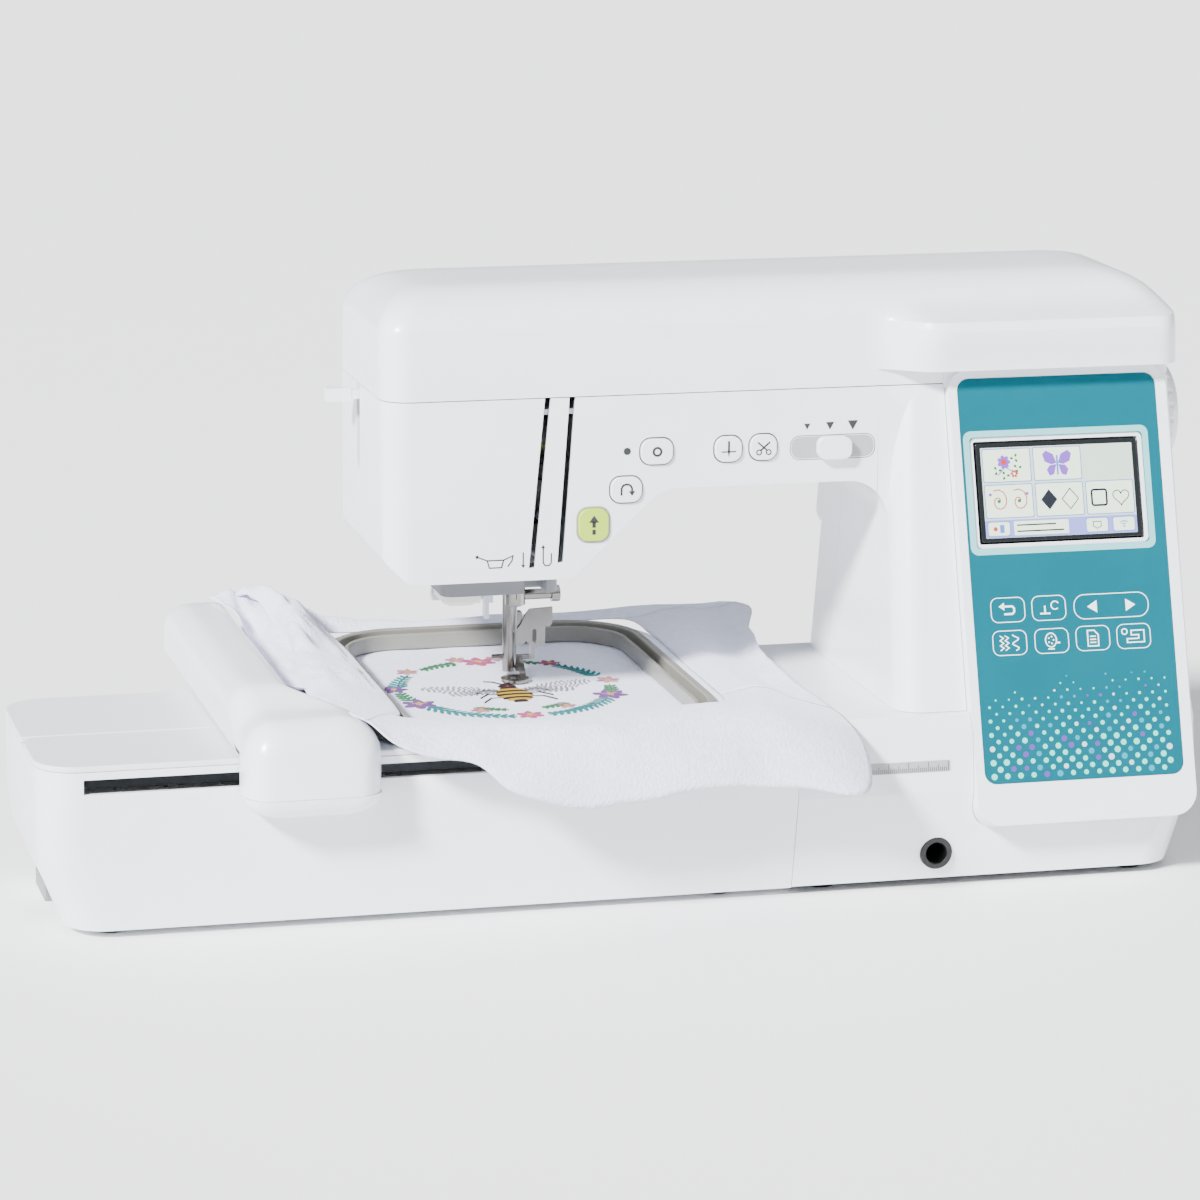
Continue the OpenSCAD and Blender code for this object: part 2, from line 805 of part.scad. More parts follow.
// ---------- sockets ----------
module power_inlet() {
  color("black") placed() difference() {
    block([body_right - 20, 25, 55.3], [body_right + 0.8, 51, 76.7]);
    block([body_right - 16, 28, 58], [body_right + 2, 48, 74]);
  }
}

module power_switch() {
  color("black") placed() intersection() {
    rod_y(1.5, 16.5, body_right - 8, 66, 10.7);
    block([body_right - 12, 0, 55.4], [body_right + 3, 20, 76.6]);
  }
}

module knee_lifter_socket() {
  color("black") placed() difference() {
    rod_y(-106.5, -78, socket_x, socket_z, socket_r);
    rod_y(-107, -80, socket_x, socket_z, 5.2);
  }
}

// ---------- embroidery unit ----------
module unit_volume(g) {
  hull() {
    round_block(-unit_left + 14 + g, -base_front + front_taper + g, -60, unit_back - 6 - g,
      foot_h, foot_h + eps, round_r - g);
    round_block(-unit_left + 2 + g, -base_front + 4 + g, -60, unit_back - g, 34, 34 + eps, round_r - g);
    round_block(-unit_left + g, -base_front + g, -60, unit_back - g, ruler_h, ruler_h + eps, round_r - g);
    round_block(-unit_left + g, -base_front + g, -60, unit_back - g,
      bed_h - plate_t - eps, bed_h - plate_t, round_r - g);
  }
  hull() {
    round_block(-150, -base_front + front_taper + g, base_left + 30, -46 - g, foot_h, foot_h + eps, round_r - g);
    round_block(-150, -base_front + g, base_left + 30, -46 - g, ruler_h, ruler_h + eps, round_r - g);
    round_block(-150, -base_front + g, base_left + 30, -46 - g, bed_h - plate_t - eps, bed_h - plate_t, round_r - g);
  }
}

// the unit's left block stops short of the free arm, and its front strip ends at the seam
module unit_plan(g) {
  translate([0, 0, -1]) linear_extrude(200) union() {
    translate([-400, -300]) square([400 - 94 - g, 500]);
    translate([-400, -300]) square([400 + base_left - gap - g, 300 - 46 - g]);
  }
}

module unit_casing() {
  color("white") placed() {
    difference() {
      intersection() {
        unit_volume(0);
        unit_plan(0);
      }
      intersection() {
        unit_volume(wall);
        unit_plan(wall);
        block([-400, -400, foot_h + wall], [400, 400, bed_h]);
      }
      block([-229, -base_front - 5, slot_low], [-15, -base_front + 8, slot_high]);
      // hand grip and release button at the left end
      block([-unit_left - 5, -70, 8], [-unit_left + 22, -30, 20]);
    }
    block([-8, -100, foot_h + 1], [0, -84, 72]);
    block([-unit_left + wall - 0.5, -100, ruler_h + 2], [-240, -84, 72]);
  }
}

module unit_top_plates() {
  color("white") placed() {
    intersection() {
      round_block(-unit_left, -base_front, base_left + 40, -46, bed_h - plate_t + 0.1, bed_h, round_r);
      block([-unit_left, -base_front, 0], [base_left - gap, -52, bed_h]);
    }
    difference() {
      round_block(-unit_left, -base_front, -94, unit_back, bed_h - plate_t + 0.1, bed_h, round_r);
      block([-unit_left - 1, -base_front - 1, 0], [0, -50.5, 200]);
    }
    block([-94, -51.9, bed_h - plate_t + 0.1], [base_left - gap, -47, bed_h]);
  }
}

module unit_rail() {
  color("silver") placed() rod_x(-240, -8, x_rail_y, x_rail_z, 4);
}

module unit_release_button() {
  color("lightgray") placed() {
    block([-unit_left + 8, -66, 9.5], [-unit_left + 18, -34, 18.5]);
  }
}

// ---------- carriage ----------
module arm_ridge(g) {
  hull() {
    round_block(arm_x0 + g, -lump_back - 10, arm_x1 - g, carriage_back - g, float_h, float_h + eps, 10);
    for (a = [0:18:90])
      round_block(arm_x0 + g + 12 * (1 - cos(a)), -lump_back - 4, arm_x1 - g - 8 * (1 - cos(a)),
        carriage_back - g - 10 * (1 - cos(a)),
        carriage_h - 12 + (12 - g) * sin(a), carriage_h - 12 + (12 - g) * sin(a) + eps, 6);
  }
}

module carriage_nose(g) {
  top = 105;
  hull() {
    round_block(arm_x0 + g, -lump_front + g, lump_x1 - g, -lump_back + 8, 70.5, 71, 13);
    for (a = [0:18:90])
      round_block(arm_x0 + g + 14 * (1 - cos(a)), -lump_front + g + 16 * (1 - cos(a)),
        lump_x1 - g - 16 * (1 - cos(a)), -lump_back + 4,
        top - 16 + (16 - g) * sin(a), top - 16 + (16 - g) * sin(a) + eps, 13);
  }
}

module carriage_shell() {
  color("white") placed() difference() {
    union() {
      arm_ridge(0);
      difference() {
        carriage_nose(0);
        block([-200, -base_front - 1.4, 50], [0, 0, float_h]);
        block([-200, -lump_back + 1, 50], [0, 50, 150]);
      }
      round_block(arm_x1 - 8, -lump_back - 5, shelf_x1, 100, float_h, 92.5, 4);
    }
    intersection() {
      arm_ridge(wall);
      block([-200, -lump_back - 20, float_h - 1], [0, 200, 200]);
    }
    difference() {
      carriage_nose(wall);
      block([-200, -base_front - 1.4 - wall, 50], [0, 0, float_h + wall]);
      block([-200, -lump_back - 1.5, 50], [0, 50, 150]);
    }
    block([arm_x0 + wall + 3, -lump_front + wall + 6, 70], [lump_x1 - wall - 6, -base_front - 4, 75]);
    block([arm_x0 + wall + 3, -lump_back - 15, float_h - 1], [arm_x1 - wall, 98, float_h + 4]);
    // window for the slider's neck
    block([-141, -base_front - 6, 72.6], [-109, -base_front, 79.4]);
    // slot that the hoop holder runs along
    block([arm_x1 - 8, -102.5, 93.2], [arm_x1 + 3, 102.5, 98.3]);
  }
}

module carriage_pan() {
  color("white") placed() {
    intersection() {
      hull() {
        round_block(arm_x0, -lump_front, lump_x1, -base_front + 10, 70, 70.3, 13);
        for (a = [0:22.5:90])
          round_block(arm_x0 + 14 * (1 - cos(a)), -lump_front + 10 * (1 - cos(a)), lump_x1 - 14 * (1 - cos(a)),
            -base_front + 10, 70 - 10 * sin(a), 70 - 10 * sin(a) + eps, 12);
      }
      block([-200, -200, 0], [0, -base_front - 1.4, 70.3]);
    }
  }
}

module carriage_slider() {
  color("dimgray") placed() {
    difference() {
      union() {
        block([-145, -101, 57], [-105, -84, 76]);
        block([-140, -126, 73.5], [-110, -98, 78.5]);
      }
      rod_x(-146, -104, x_rail_y, x_rail_z, 4 + fit);
    }
    // post that seats the front end of the carriage's own rail
    difference() {
      union() {
        block([-148, -126, 73.5], [-134, -118, rail_z]);
        block([-148, -126, 90.7], [-134, -104, rail_z]);
      }
      rod_y(-130, -100, rail_x, rail_z, 3);
    }
  }
}

module carriage_rail() {
  color("silver") placed() rod_y(-112, carriage_back - wall - 0.1, rail_x, rail_z, 3);
}

// ---------- hoop and cloth ----------
module hoop_outline(grow, r) {
  w = hoop_w / 2 + grow;
  l = hoop_l / 2 + grow;
  translate([hoop_x, hoop_y]) round_rect(-w, -l, w, l, r);
}

module hoop_ring(inner, outer, z0, z1) {
  translate([0, 0, z0]) linear_extrude(z1 - z0) difference() {
    hoop_outline(outer, 28 + outer);
    hoop_outline(inner, 28 + inner);
  }
}

module hoop_holder() {
  color("gray") placed() difference() {
    union() {
      block([-150, hoop_y - holder_half, 92.8], [-131, hoop_y + holder_half, 105.5]);
      block([-132, hoop_y - holder_half, 94], [-90, hoop_y + holder_half, 97.4]);
    }
    rod_y(hoop_y - 20, hoop_y + 20, rail_x, rail_z, 3 + fit);
  }
}

module hoop_outer_frame() {
  ring_in = hoop_rim + 0.8;
  front = hoop_y - hoop_l / 2 - ring_in - outer_rim;
  color("tan") placed() difference() {
    union() {
      hoop_ring(ring_in, ring_in + outer_rim, 87.4, 93.4);
      // bracket that clips over the carriage's holder
      block([-106, hoop_y - 16, 97.7], [-86.5, hoop_y + 16, 100.5]);
      block([-88, hoop_y - 16, 88], [-84.5, hoop_y + 16, 100.5]);
      // lugs of the tightening screw
      for (x = [-12, 3])
        block([x, front - 9, 88], [x + 5, front + 2, 96]);
    }
    rod_x(-14, 10, front - 4.5, 92, 2 + fit);
    block([-9.5, front - 1, 80], [1.5, front + outer_rim + 1, 100]);
  }
}

module hoop_inner_frame() {
  color("tan") placed() {
    hoop_ring(hoop_rim - 4, hoop_rim, 87.9, 97.5);
    hoop_ring(0, hoop_rim - 3.9, 87.9, 92);
    hoop_ring(0, 2.5, 87.9, 96);
  }
}

module hoop_screw() {
  front = hoop_y - hoop_l / 2 - hoop_rim - 0.8 - outer_rim;
  color("silver") placed() {
    rod_x(-13, 12, front - 4.5, 92, 2);
    rod_x(-24, -12.5, front - 4.5, 92, 4);
  }
}

module hooped_fabric() {
  color("lavender") placed() difference() {
    union() {
      translate([0, 0, cloth_z]) linear_extrude(cloth_t) hoop_outline(hoop_rim + 0.6, 38.6);
      hoop_ring(hoop_rim + 0.15, hoop_rim + 0.6, cloth_z, 94.4);
      hoop_ring(hoop_rim + 0.15, hoop_rim + outer_rim + 3, 93.7, 94.4);
    }
    // stitch holes under the needle and at the corners of its field
    for (p = stitch_spots)
      rod_z(cloth_z - 1, cloth_z + 2, p[0], p[1], 1.3);
    // clear of the hoop's bracket and of the tightening screw's lugs
    block([-110, hoop_y - 18, 93.5], [hoop_x - hoop_w / 2 - hoop_rim - 0.7, hoop_y + 18, 96]);
    block([-27, -150, 93.5], [15, hoop_y - hoop_l / 2 - hoop_rim - 0.7, 96]);
  }
}

// loose cloth outside the hoop: right flap, and front flap hanging over the machine's edge
module fabric_flaps() {
  color("lavender") placed() {
    difference() {
      block([60, -122, 95], [158, 104, 96]);
      translate([0, 0, 80]) linear_extrude(30) hoop_outline(hoop_rim + outer_rim + 4, 46);
    }
    block([-78, -146, 98.8], [150, -112, 99.8]);
    hull() {
      block([-78, -146.5, 98.8], [150, -145, 99.8]);
      block([-40, -cloth_front, 60], [140, -cloth_front + 1, 61]);
    }
  }
}

// gathered cloth along the carriage
module fabric_fold() {
  color("lavender") placed() hull() {
    rod_y(-96, 100, -112, 109, 7.3, $fn = hull_fn);
    rod_y(-96, 100, -101, 106, 4, $fn = hull_fn);
    rod_y(-96, 96, -116.8, 113, 7, $fn = hull_fn);
  }
}

base_casing();
front_casing();
rear_casing();
top_cover();
bottom_plate();
rubber_feet();
free_arm_cover();
panel_frame();
panel_overlay();
display_module();
needle_plate();
bobbin_cover();
bobbin_case();
bobbin();
rotary_hook();
feed_dogs();
frame_casting();
main_shaft();
handwheel();
timing_belt();
lower_shaft();
main_motor();
needle_bar();
needle_clamp();
needle();
take_up_lever();
presser_bar();
embroidery_foot();
presser_lifter();
threader();
led_lamp();
needle_area_cover();
upper_deck();
spool_pin();
thread_spool();
bobbin_winder();
start_stop_button();
reverse_button();
reinforcement_button();
needle_position_button();
thread_cutter_button();
speed_slider();
power_inlet();
power_switch();
knee_lifter_socket();
unit_casing();
unit_top_plates();
unit_rail();
unit_release_button();
carriage_shell();
carriage_pan();
carriage_slider();
carriage_rail();
hoop_holder();
hoop_outer_frame();
hoop_inner_frame();
hoop_screw();
hooped_fabric();
fabric_flaps();
fabric_fold();
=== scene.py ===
import json
import random
from math import cos, exp, hypot, pi, radians, sin, sqrt

import bmesh
import bpy
from mathutils import Matrix, Vector, noise


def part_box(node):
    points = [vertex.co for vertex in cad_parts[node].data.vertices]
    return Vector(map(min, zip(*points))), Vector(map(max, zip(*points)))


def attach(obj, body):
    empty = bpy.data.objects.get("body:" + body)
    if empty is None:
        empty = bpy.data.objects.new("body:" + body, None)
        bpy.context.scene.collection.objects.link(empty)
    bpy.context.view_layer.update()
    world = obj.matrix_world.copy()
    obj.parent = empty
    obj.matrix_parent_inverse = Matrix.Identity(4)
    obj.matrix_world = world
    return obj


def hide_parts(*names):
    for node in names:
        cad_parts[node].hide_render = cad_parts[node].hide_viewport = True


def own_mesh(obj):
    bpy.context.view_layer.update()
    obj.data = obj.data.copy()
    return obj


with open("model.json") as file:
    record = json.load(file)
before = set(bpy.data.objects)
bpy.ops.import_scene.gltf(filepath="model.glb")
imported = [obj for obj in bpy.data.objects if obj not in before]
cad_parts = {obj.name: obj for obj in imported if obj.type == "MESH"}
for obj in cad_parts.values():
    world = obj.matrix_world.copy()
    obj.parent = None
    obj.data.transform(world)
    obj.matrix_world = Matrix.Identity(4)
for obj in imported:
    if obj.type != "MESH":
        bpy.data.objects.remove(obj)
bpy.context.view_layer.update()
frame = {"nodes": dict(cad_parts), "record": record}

random.seed(7)
MM = 0.001
needle_low, needle_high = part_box("needle_bar")
NEEDLE = ((needle_low[0] + needle_high[0]) / 2, (needle_low[1] + needle_high[1]) / 2)


def at(x, y, z):
    """A point measured from the needle and the table in mm, in the row frame in metres."""
    return Vector((NEEDLE[0] + x * MM, NEEDLE[1] + y * MM, z * MM))


# ---------- materials ----------
def new_material(name):
    m = bpy.data.materials.new(name)
    m.use_nodes = True
    nodes, links = m.node_tree.nodes, m.node_tree.links
    return m, nodes, links, nodes["Principled BSDF"]


def set_inputs(node, **values):
    """Sets a node's inputs; an underscore in a name stands for a space."""
    for name, value in values.items():
        node.inputs[name.replace("_", " ")].default_value = value
    return node


def tinted(nodes, links, color, amount, scale, detail=3.0):
    """A colour with soft variation from object-space noise."""
    tex = nodes.new("ShaderNodeTexCoord")
    n = set_inputs(nodes.new("ShaderNodeTexNoise"), Scale=scale, Detail=detail)
    links.new(tex.outputs["Object"], n.inputs["Vector"])
    ramp = nodes.new("ShaderNodeValToRGB")
    for stop, place, factor in zip(ramp.color_ramp.elements, (0.3, 0.7), (1 - amount, 1 + amount)):
        stop.position = place
        stop.color = [min(1, c * factor) for c in color] + [1]
    links.new(n.outputs["Fac"], ramp.inputs["Fac"])
    return tex, ramp


def grain(nodes, links, bsdf, tex, scale, strength, distance):
    """Fine relief from noise; it returns the noise node."""
    n = set_inputs(nodes.new("ShaderNodeTexNoise"), Scale=scale)
    links.new(tex.outputs["Object"], n.inputs["Vector"])
    b = set_inputs(nodes.new("ShaderNodeBump"), Strength=strength, Distance=distance)
    links.new(n.outputs[0], b.inputs["Height"])
    links.new(b.outputs["Normal"], bsdf.inputs["Normal"])
    return n


def rough_noise(nodes, links, bsdf, tex, low, high, scale):
    n = set_inputs(nodes.new("ShaderNodeTexNoise"), Scale=scale)
    links.new(tex.outputs["Object"], n.inputs["Vector"])
    r = set_inputs(nodes.new("ShaderNodeMapRange"), To_Min=low, To_Max=high)
    links.new(n.outputs["Fac"], r.inputs["Value"])
    links.new(r.outputs["Result"], bsdf.inputs["Roughness"])


def plastic(name, color, rough=0.3, grain_scale=2600, grain_strength=0.12, coat=0.25, vary=0.012, emit=0.0):
    m, nodes, links, b = new_material(name)
    tex, ramp = tinted(nodes, links, color, vary, 40)
    links.new(ramp.outputs["Color"], b.inputs["Base Color"])
    rough_noise(nodes, links, b, tex, rough * 0.85, rough * 1.15, 90)
    grain(nodes, links, b, tex, grain_scale, grain_strength, 0.00005)
    set_inputs(b, Coat_Weight=coat, Coat_Roughness=0.15, IOR=1.5)
    if emit:
        links.new(ramp.outputs["Color"], b.inputs["Emission Color"])
        set_inputs(b, Emission_Strength=emit)
    return m


def metal(name, color, rough, brushed=False):
    m, nodes, links, b = new_material(name)
    tex, ramp = tinted(nodes, links, color, 0.04, 120)
    links.new(ramp.outputs["Color"], b.inputs["Base Color"])
    set_inputs(b, Metallic=1.0)
    rough_noise(nodes, links, b, tex, rough * 0.7, rough * 1.4, 300)
    n = grain(nodes, links, b, tex, 900, 0.15 if brushed else 0.04, 0.00004)
    if brushed:
        mapping = set_inputs(nodes.new("ShaderNodeMapping"), Scale=(1, 1, 40))
        links.new(tex.outputs["Object"], mapping.inputs["Vector"])
        links.new(mapping.outputs["Vector"], n.inputs["Vector"])
    return m


def cloth_material(name, color, weave=900.0):
    m, nodes, links, b = new_material(name)
    tex, ramp = tinted(nodes, links, color, 0.05, 260, 8)
    links.new(ramp.outputs["Color"], b.inputs["Base Color"])
    set_inputs(b, Roughness=0.9, Sheen_Weight=0.35, Sheen_Roughness=0.5)
    n1 = set_inputs(nodes.new("ShaderNodeTexNoise"), Scale=weave, Detail=6)
    n2 = set_inputs(nodes.new("ShaderNodeTexVoronoi"), Scale=weave * 0.7)
    for n in (n1, n2):
        links.new(tex.outputs["Object"], n.inputs["Vector"])
    add = nodes.new("ShaderNodeMath")
    links.new(n1.outputs["Fac"], add.inputs[0])
    links.new(n2.outputs["Distance"], add.inputs[1])
    bump = set_inputs(nodes.new("ShaderNodeBump"), Strength=0.5, Distance=0.0006)
    links.new(add.outputs["Value"], bump.inputs["Height"])
    links.new(bump.outputs["Normal"], b.inputs["Normal"])
    return m


def glow(name, color, strength, rough=0.25):
    m, nodes, links, b = new_material(name)
    tex, ramp = tinted(nodes, links, color, 0.02, 60)
    links.new(ramp.outputs["Color"], b.inputs["Base Color"])
    links.new(ramp.outputs["Color"], b.inputs["Emission Color"])
    set_inputs(b, Emission_Strength=strength, Roughness=rough)
    return m


MAT = {
    "white": plastic("white_shell", (0.80, 0.83, 0.87), 0.32),
    "white_top": plastic("white_top_plate", (0.74, 0.76, 0.79), 0.42, 1800, 0.2, 0.1),
    "grey": plastic("grey_matte", (0.2, 0.205, 0.21), 0.5, 1500, 0.3, 0.0),
    "light_grey": plastic("light_grey", (0.33, 0.342, 0.354), 0.45, 1500, 0.25, 0.0),
    "black": plastic("black_moulded", (0.005, 0.006, 0.006), 0.45, 1800, 0.3, 0.0),
    "dark_line": plastic("dark_marking", (0.016, 0.02, 0.023), 0.5, 2000, 0.1, 0.0),
    "rubber": plastic("rubber_black", (0.007, 0.007, 0.007), 0.8, 900, 0.5, 0.0),
    "teal": plastic("teal_film", (0, 0.095, 0.13), 0.36, 2500, 0.12, 0.2, 0.02),
    "teal_border": plastic("teal_border", (0.2, 0.5, 0.52), 0.35, 2500, 0.1, 0.2),
    "ink_white": plastic("white_ink", (0.85, 0.90, 0.92), 0.4, 2500, 0.05, 0.1),
    "dot_mint": plastic("mint_ink", (0.14, 0.62, 0.48), 0.4, 2500, 0.05, 0.1),
    "dot_pale": plastic("pale_ink", (0.42, 0.55, 0.56), 0.4, 2500, 0.05, 0.1),
    "dot_purple": plastic("purple_ink", (0.11, 0.05, 0.30), 0.4, 2500, 0.05, 0.1),
    "dot_blue": plastic("blue_ink", (0.012, 0.26, 0.36), 0.4, 2500, 0.05, 0.1),
    "glass": plastic("display_glass", (0.006, 0.008, 0.009), 0.2, 3000, 0.0, 0.1),
    "lcd_back": glow("lcd_back", (0.42, 0.5, 0.44), 0.7),
    "lcd_tile": glow("lcd_tile", (0.5, 0.6, 0.47), 1.3),
    "lcd_line": glow("lcd_line", (0.06, 0.14, 0.42), 0.7),
    "lcd_bar": glow("lcd_bar", (0.17, 0.18, 0.5), 1.0),
    "lcd_red": glow("lcd_red", (0.4, 0.03, 0.03), 0.3),
    "lcd_green": glow("lcd_green", (0.02, 0.14, 0.03), 0.2),
    "lcd_purple": glow("lcd_purple", (0.16, 0.06, 0.42), 0.4),
    "lcd_dark": glow("lcd_dark", (0.01, 0.012, 0.02), 0.05),
    "lit": glow("lit_green", (0.36, 0.5, 0.03), 0.45),
    "lamp": glow("lamp_cover", (0.90, 0.90, 0.84), 0.25, 0.4),
    "steel": metal("steel_ground", (0.36, 0.355, 0.34), 0.24, True),
    "nickel": metal("nickel", (0.33, 0.31, 0.28), 0.2),
    "cast": metal("cast_aluminium", (0.28, 0.287, 0.294), 0.5),
    "hoop": plastic("hoop_plastic", (0.22, 0.215, 0.19), 0.36, 1500, 0.2, 0.15),
    "clear": plastic("clear_cover", (0.275, 0.3, 0.32), 0.12, 3000, 0.02, 0.8),
    "cloth": cloth_material("felt_cloth", (0.71, 0.73, 0.87)),
    "spool": cloth_material("spool_thread", (0.011, 0.137, 0.079), 1500),
}
for key in ("teal", "teal_border", "dot_mint", "dot_pale", "dot_purple", "dot_blue"):
    set_inputs(MAT[key].node_tree.nodes["Principled BSDF"], Specular_IOR_Level=0.12, Coat_Weight=0.0)
set_inputs(MAT["clear"].node_tree.nodes["Principled BSDF"], Transmission_Weight=0.6)
THREAD_COLOURS = {
    "yellow": (0.4, 0.26, 0.03), "brown": (0.03, 0.018, 0.015), "teal": (0.01, 0.165, 0.17),
    "green": (0.03, 0.15, 0.065), "pink": (0.36, 0.065, 0.16), "purple": (0.14, 0.055, 0.21),
    "grey": (0.18, 0.185, 0.21), "blue": (0.05, 0.11, 0.26), "rose": (0.4, 0.19, 0.24),
}
for key, value in THREAD_COLOURS.items():
    MAT["thread_" + key] = plastic("thread_" + key, value, 0.42, 3500, 0.4, 0.0, 0.08)

SLOT_OF = {s["node"]: s["material_slot"] for s in frame["record"]["subparts"]}
SLOT_LOOK = {
    "white_plastic": "white", "grey_plastic": "grey", "rubber": "rubber", "teal_film": "teal",
    "display_glass": "glass", "steel": "steel", "nickel": "nickel", "clear_plastic": "clear",
    "black_plastic": "black", "cast_aluminium": "cast", "lamp_plastic": "lamp", "green_thread": "spool",
    "lit_button": "lit", "hoop_plastic": "hoop", "cloth": "cloth",
}
BODY_OF = {n: b for b, ns in frame["record"]["behaviour"]["bodies"].items() for n in ns}


def put(obj, mat, body):
    obj.data.materials.clear()
    obj.data.materials.append(MAT[mat])
    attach(obj, body)
    return obj


def link(name, mesh):
    obj = bpy.data.objects.new(name, mesh)
    bpy.context.scene.collection.objects.link(obj)
    return obj


SHELL_ANGLE = radians(34)
SHELL_LOOK = {
    "unit_top_plates": "white_top", "hoop_holder": "grey", "needle_area_cover": "grey",
    "presser_lifter": "light_grey", "main_motor": "cast",
}


def smooth(mesh, angle):
    """Smooth shading with sharp edges where faces meet at more than the angle."""
    bm = bmesh.new()
    bm.from_mesh(mesh)
    for f in bm.faces:
        f.smooth = True
    for e in bm.edges:
        e.smooth = len(e.link_faces) == 2 and e.calc_face_angle(0) < angle
    bm.to_mesh(mesh)
    bm.free()


# every CAD node first gets its finish
for name, obj in frame["nodes"].items():
    obj.data.materials.clear()
    obj.data.materials.append(MAT[SLOT_LOOK[SLOT_OF[name]]])


def close_seams(bm, seams):
    """Join solids of one moulding that the CAD parts at planes of constant X."""
    for x in seams:
        place = at(x + 0.1, 0, 0).x
        near = [v for v in bm.verts if abs(v.co.x - place) < 0.13 * MM]
        chosen = set(near)
        inside = [f for f in bm.faces if all(v in chosen for v in f.verts)]
        bmesh.ops.delete(bm, geom=inside, context="FACES_ONLY")
        bmesh.ops.remove_doubles(bm, verts=[v for v in near if v.is_valid], dist=0.26 * MM)


def shell(node, edge, look=None, seams=(), joined=True):
    """A finished copy of a CAD node: welded, with rounded edges and smooth shading."""
    mesh = frame["nodes"][node].data.copy()
    bm = bmesh.new()
    bm.from_mesh(mesh)
    bmesh.ops.remove_doubles(bm, verts=bm.verts, dist=0.02 * MM)
    close_seams(bm, seams)
    if joined:
        bmesh.ops.dissolve_limit(bm, angle_limit=radians(0.6), verts=bm.verts, edges=bm.edges)
    bm.to_mesh(mesh)
    bm.free()
    obj = link(node + "_piece", mesh)
    for p in mesh.polygons:
        p.use_smooth = True
    bevel = obj.modifiers.new("edges", "BEVEL")
    bevel.width = edge * MM
    bevel.segments = 3
    bevel.limit_method = "ANGLE"
    bevel.angle_limit = SHELL_ANGLE
    bevel.harden_normals = True
    bevel.use_clamp_overlap = True
    bevel.miter_outer = "MITER_ARC"
    smooth(mesh, SHELL_ANGLE)
    put(obj, look or SLOT_LOOK[SLOT_OF[node]], BODY_OF[node])
    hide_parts(node)
    return obj


BUTTONS = ("reverse_button", "reinforcement_button", "needle_position_button", "thread_cutter_button",
           "start_stop_button")
for node in ("front_casing", "rear_casing"):
    shell(node, 0.9, seams=(68, 168), joined=node == "front_casing")
for node, edge in (
    ("base_casing", 0.9), ("unit_casing", 0.9), ("unit_top_plates", 0.7), ("carriage_pan", 0.7),
    ("panel_frame", 1.4), ("free_arm_cover", 0.8), ("handwheel", 1.2), ("hoop_inner_frame", 0.9),
    ("hoop_outer_frame", 0.8), ("hoop_holder", 0.7), ("speed_slider", 1.2), ("threader", 0.7),
    ("needle_area_cover", 0.6), ("led_lamp", 0.9), ("spool_pin", 0.7), ("thread_spool", 0.5),
    ("bobbin_winder", 0.6), ("knee_lifter_socket", 0.5),
    *[(node, 0.9) for node in BUTTONS], ("power_switch", 0.8), ("power_inlet", 0.6),
    ("unit_release_button", 0.8), ("presser_lifter", 0.8), ("needle_clamp", 0.4), ("embroidery_foot", 0.25),
    ("take_up_lever", 0.4), ("main_motor", 0.8), ("frame_casting", 1.0), ("carriage_slider", 0.5),
    ("rubber_feet", 0.8),
):
    shell(node, edge, SHELL_LOOK.get(node))


def closed_mesh(name, verts, faces, weld=0.0):
    """A mesh whose faces all look outwards, with points nearer than weld joined."""
    mesh = bpy.data.meshes.new(name)
    mesh.from_pydata(verts, [], faces)
    bm = bmesh.new()
    bm.from_mesh(mesh)
    if weld:
        bmesh.ops.remove_doubles(bm, verts=bm.verts, dist=weld)
    bmesh.ops.recalc_face_normals(bm, faces=bm.faces)
    bm.to_mesh(mesh)
    bm.free()
    return mesh


def skin(name, rings, body, replaces, caps=(True, True), thick=0.0, angle=30, drop=None):
    """A white skin through rings of points in mm; drop says which faces are left open."""
    n = len(rings[0])
    verts = [at(*q) for ring in rings for q in ring]
    faces = []
    for r in range(len(rings) - 1):
        for i in range(n):
            j = (i + 1) % n
            face = [r * n + i, r * n + j, (r + 1) * n + j, (r + 1) * n + i]
            if not (drop and drop([rings[k // n][k % n] for k in face])):
                faces.append(face)
    if caps[0]:
        faces.append(list(range(n))[::-1])
    if caps[1]:
        faces.append([(len(rings) - 1) * n + i for i in range(n)])
    mesh = closed_mesh(name, verts, faces, 0.01 * MM)
    smooth(mesh, radians(angle))
    obj = link(name, mesh)
    if thick:
        mod = obj.modifiers.new("wall", "SOLIDIFY")
        mod.thickness = thick * MM
        mod.offset = -1
    put(obj, "white", body)
    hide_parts(replaces)


def step(x, low, high):
    """Smooth rise from 0 at low to 1 at high."""
    t = min(1.0, max(0.0, (x - low) / (high - low)))
    return t * t * (3 - 2 * t)


# ---------- top cover ----------
LEFT_X, RIGHT_X, FRONT_Y, BACK_Y = -76.0, 320.0, -52.0, 62.0
BROW_LOW, SHOULDER, CROWN = 246.2, 268, 289.0


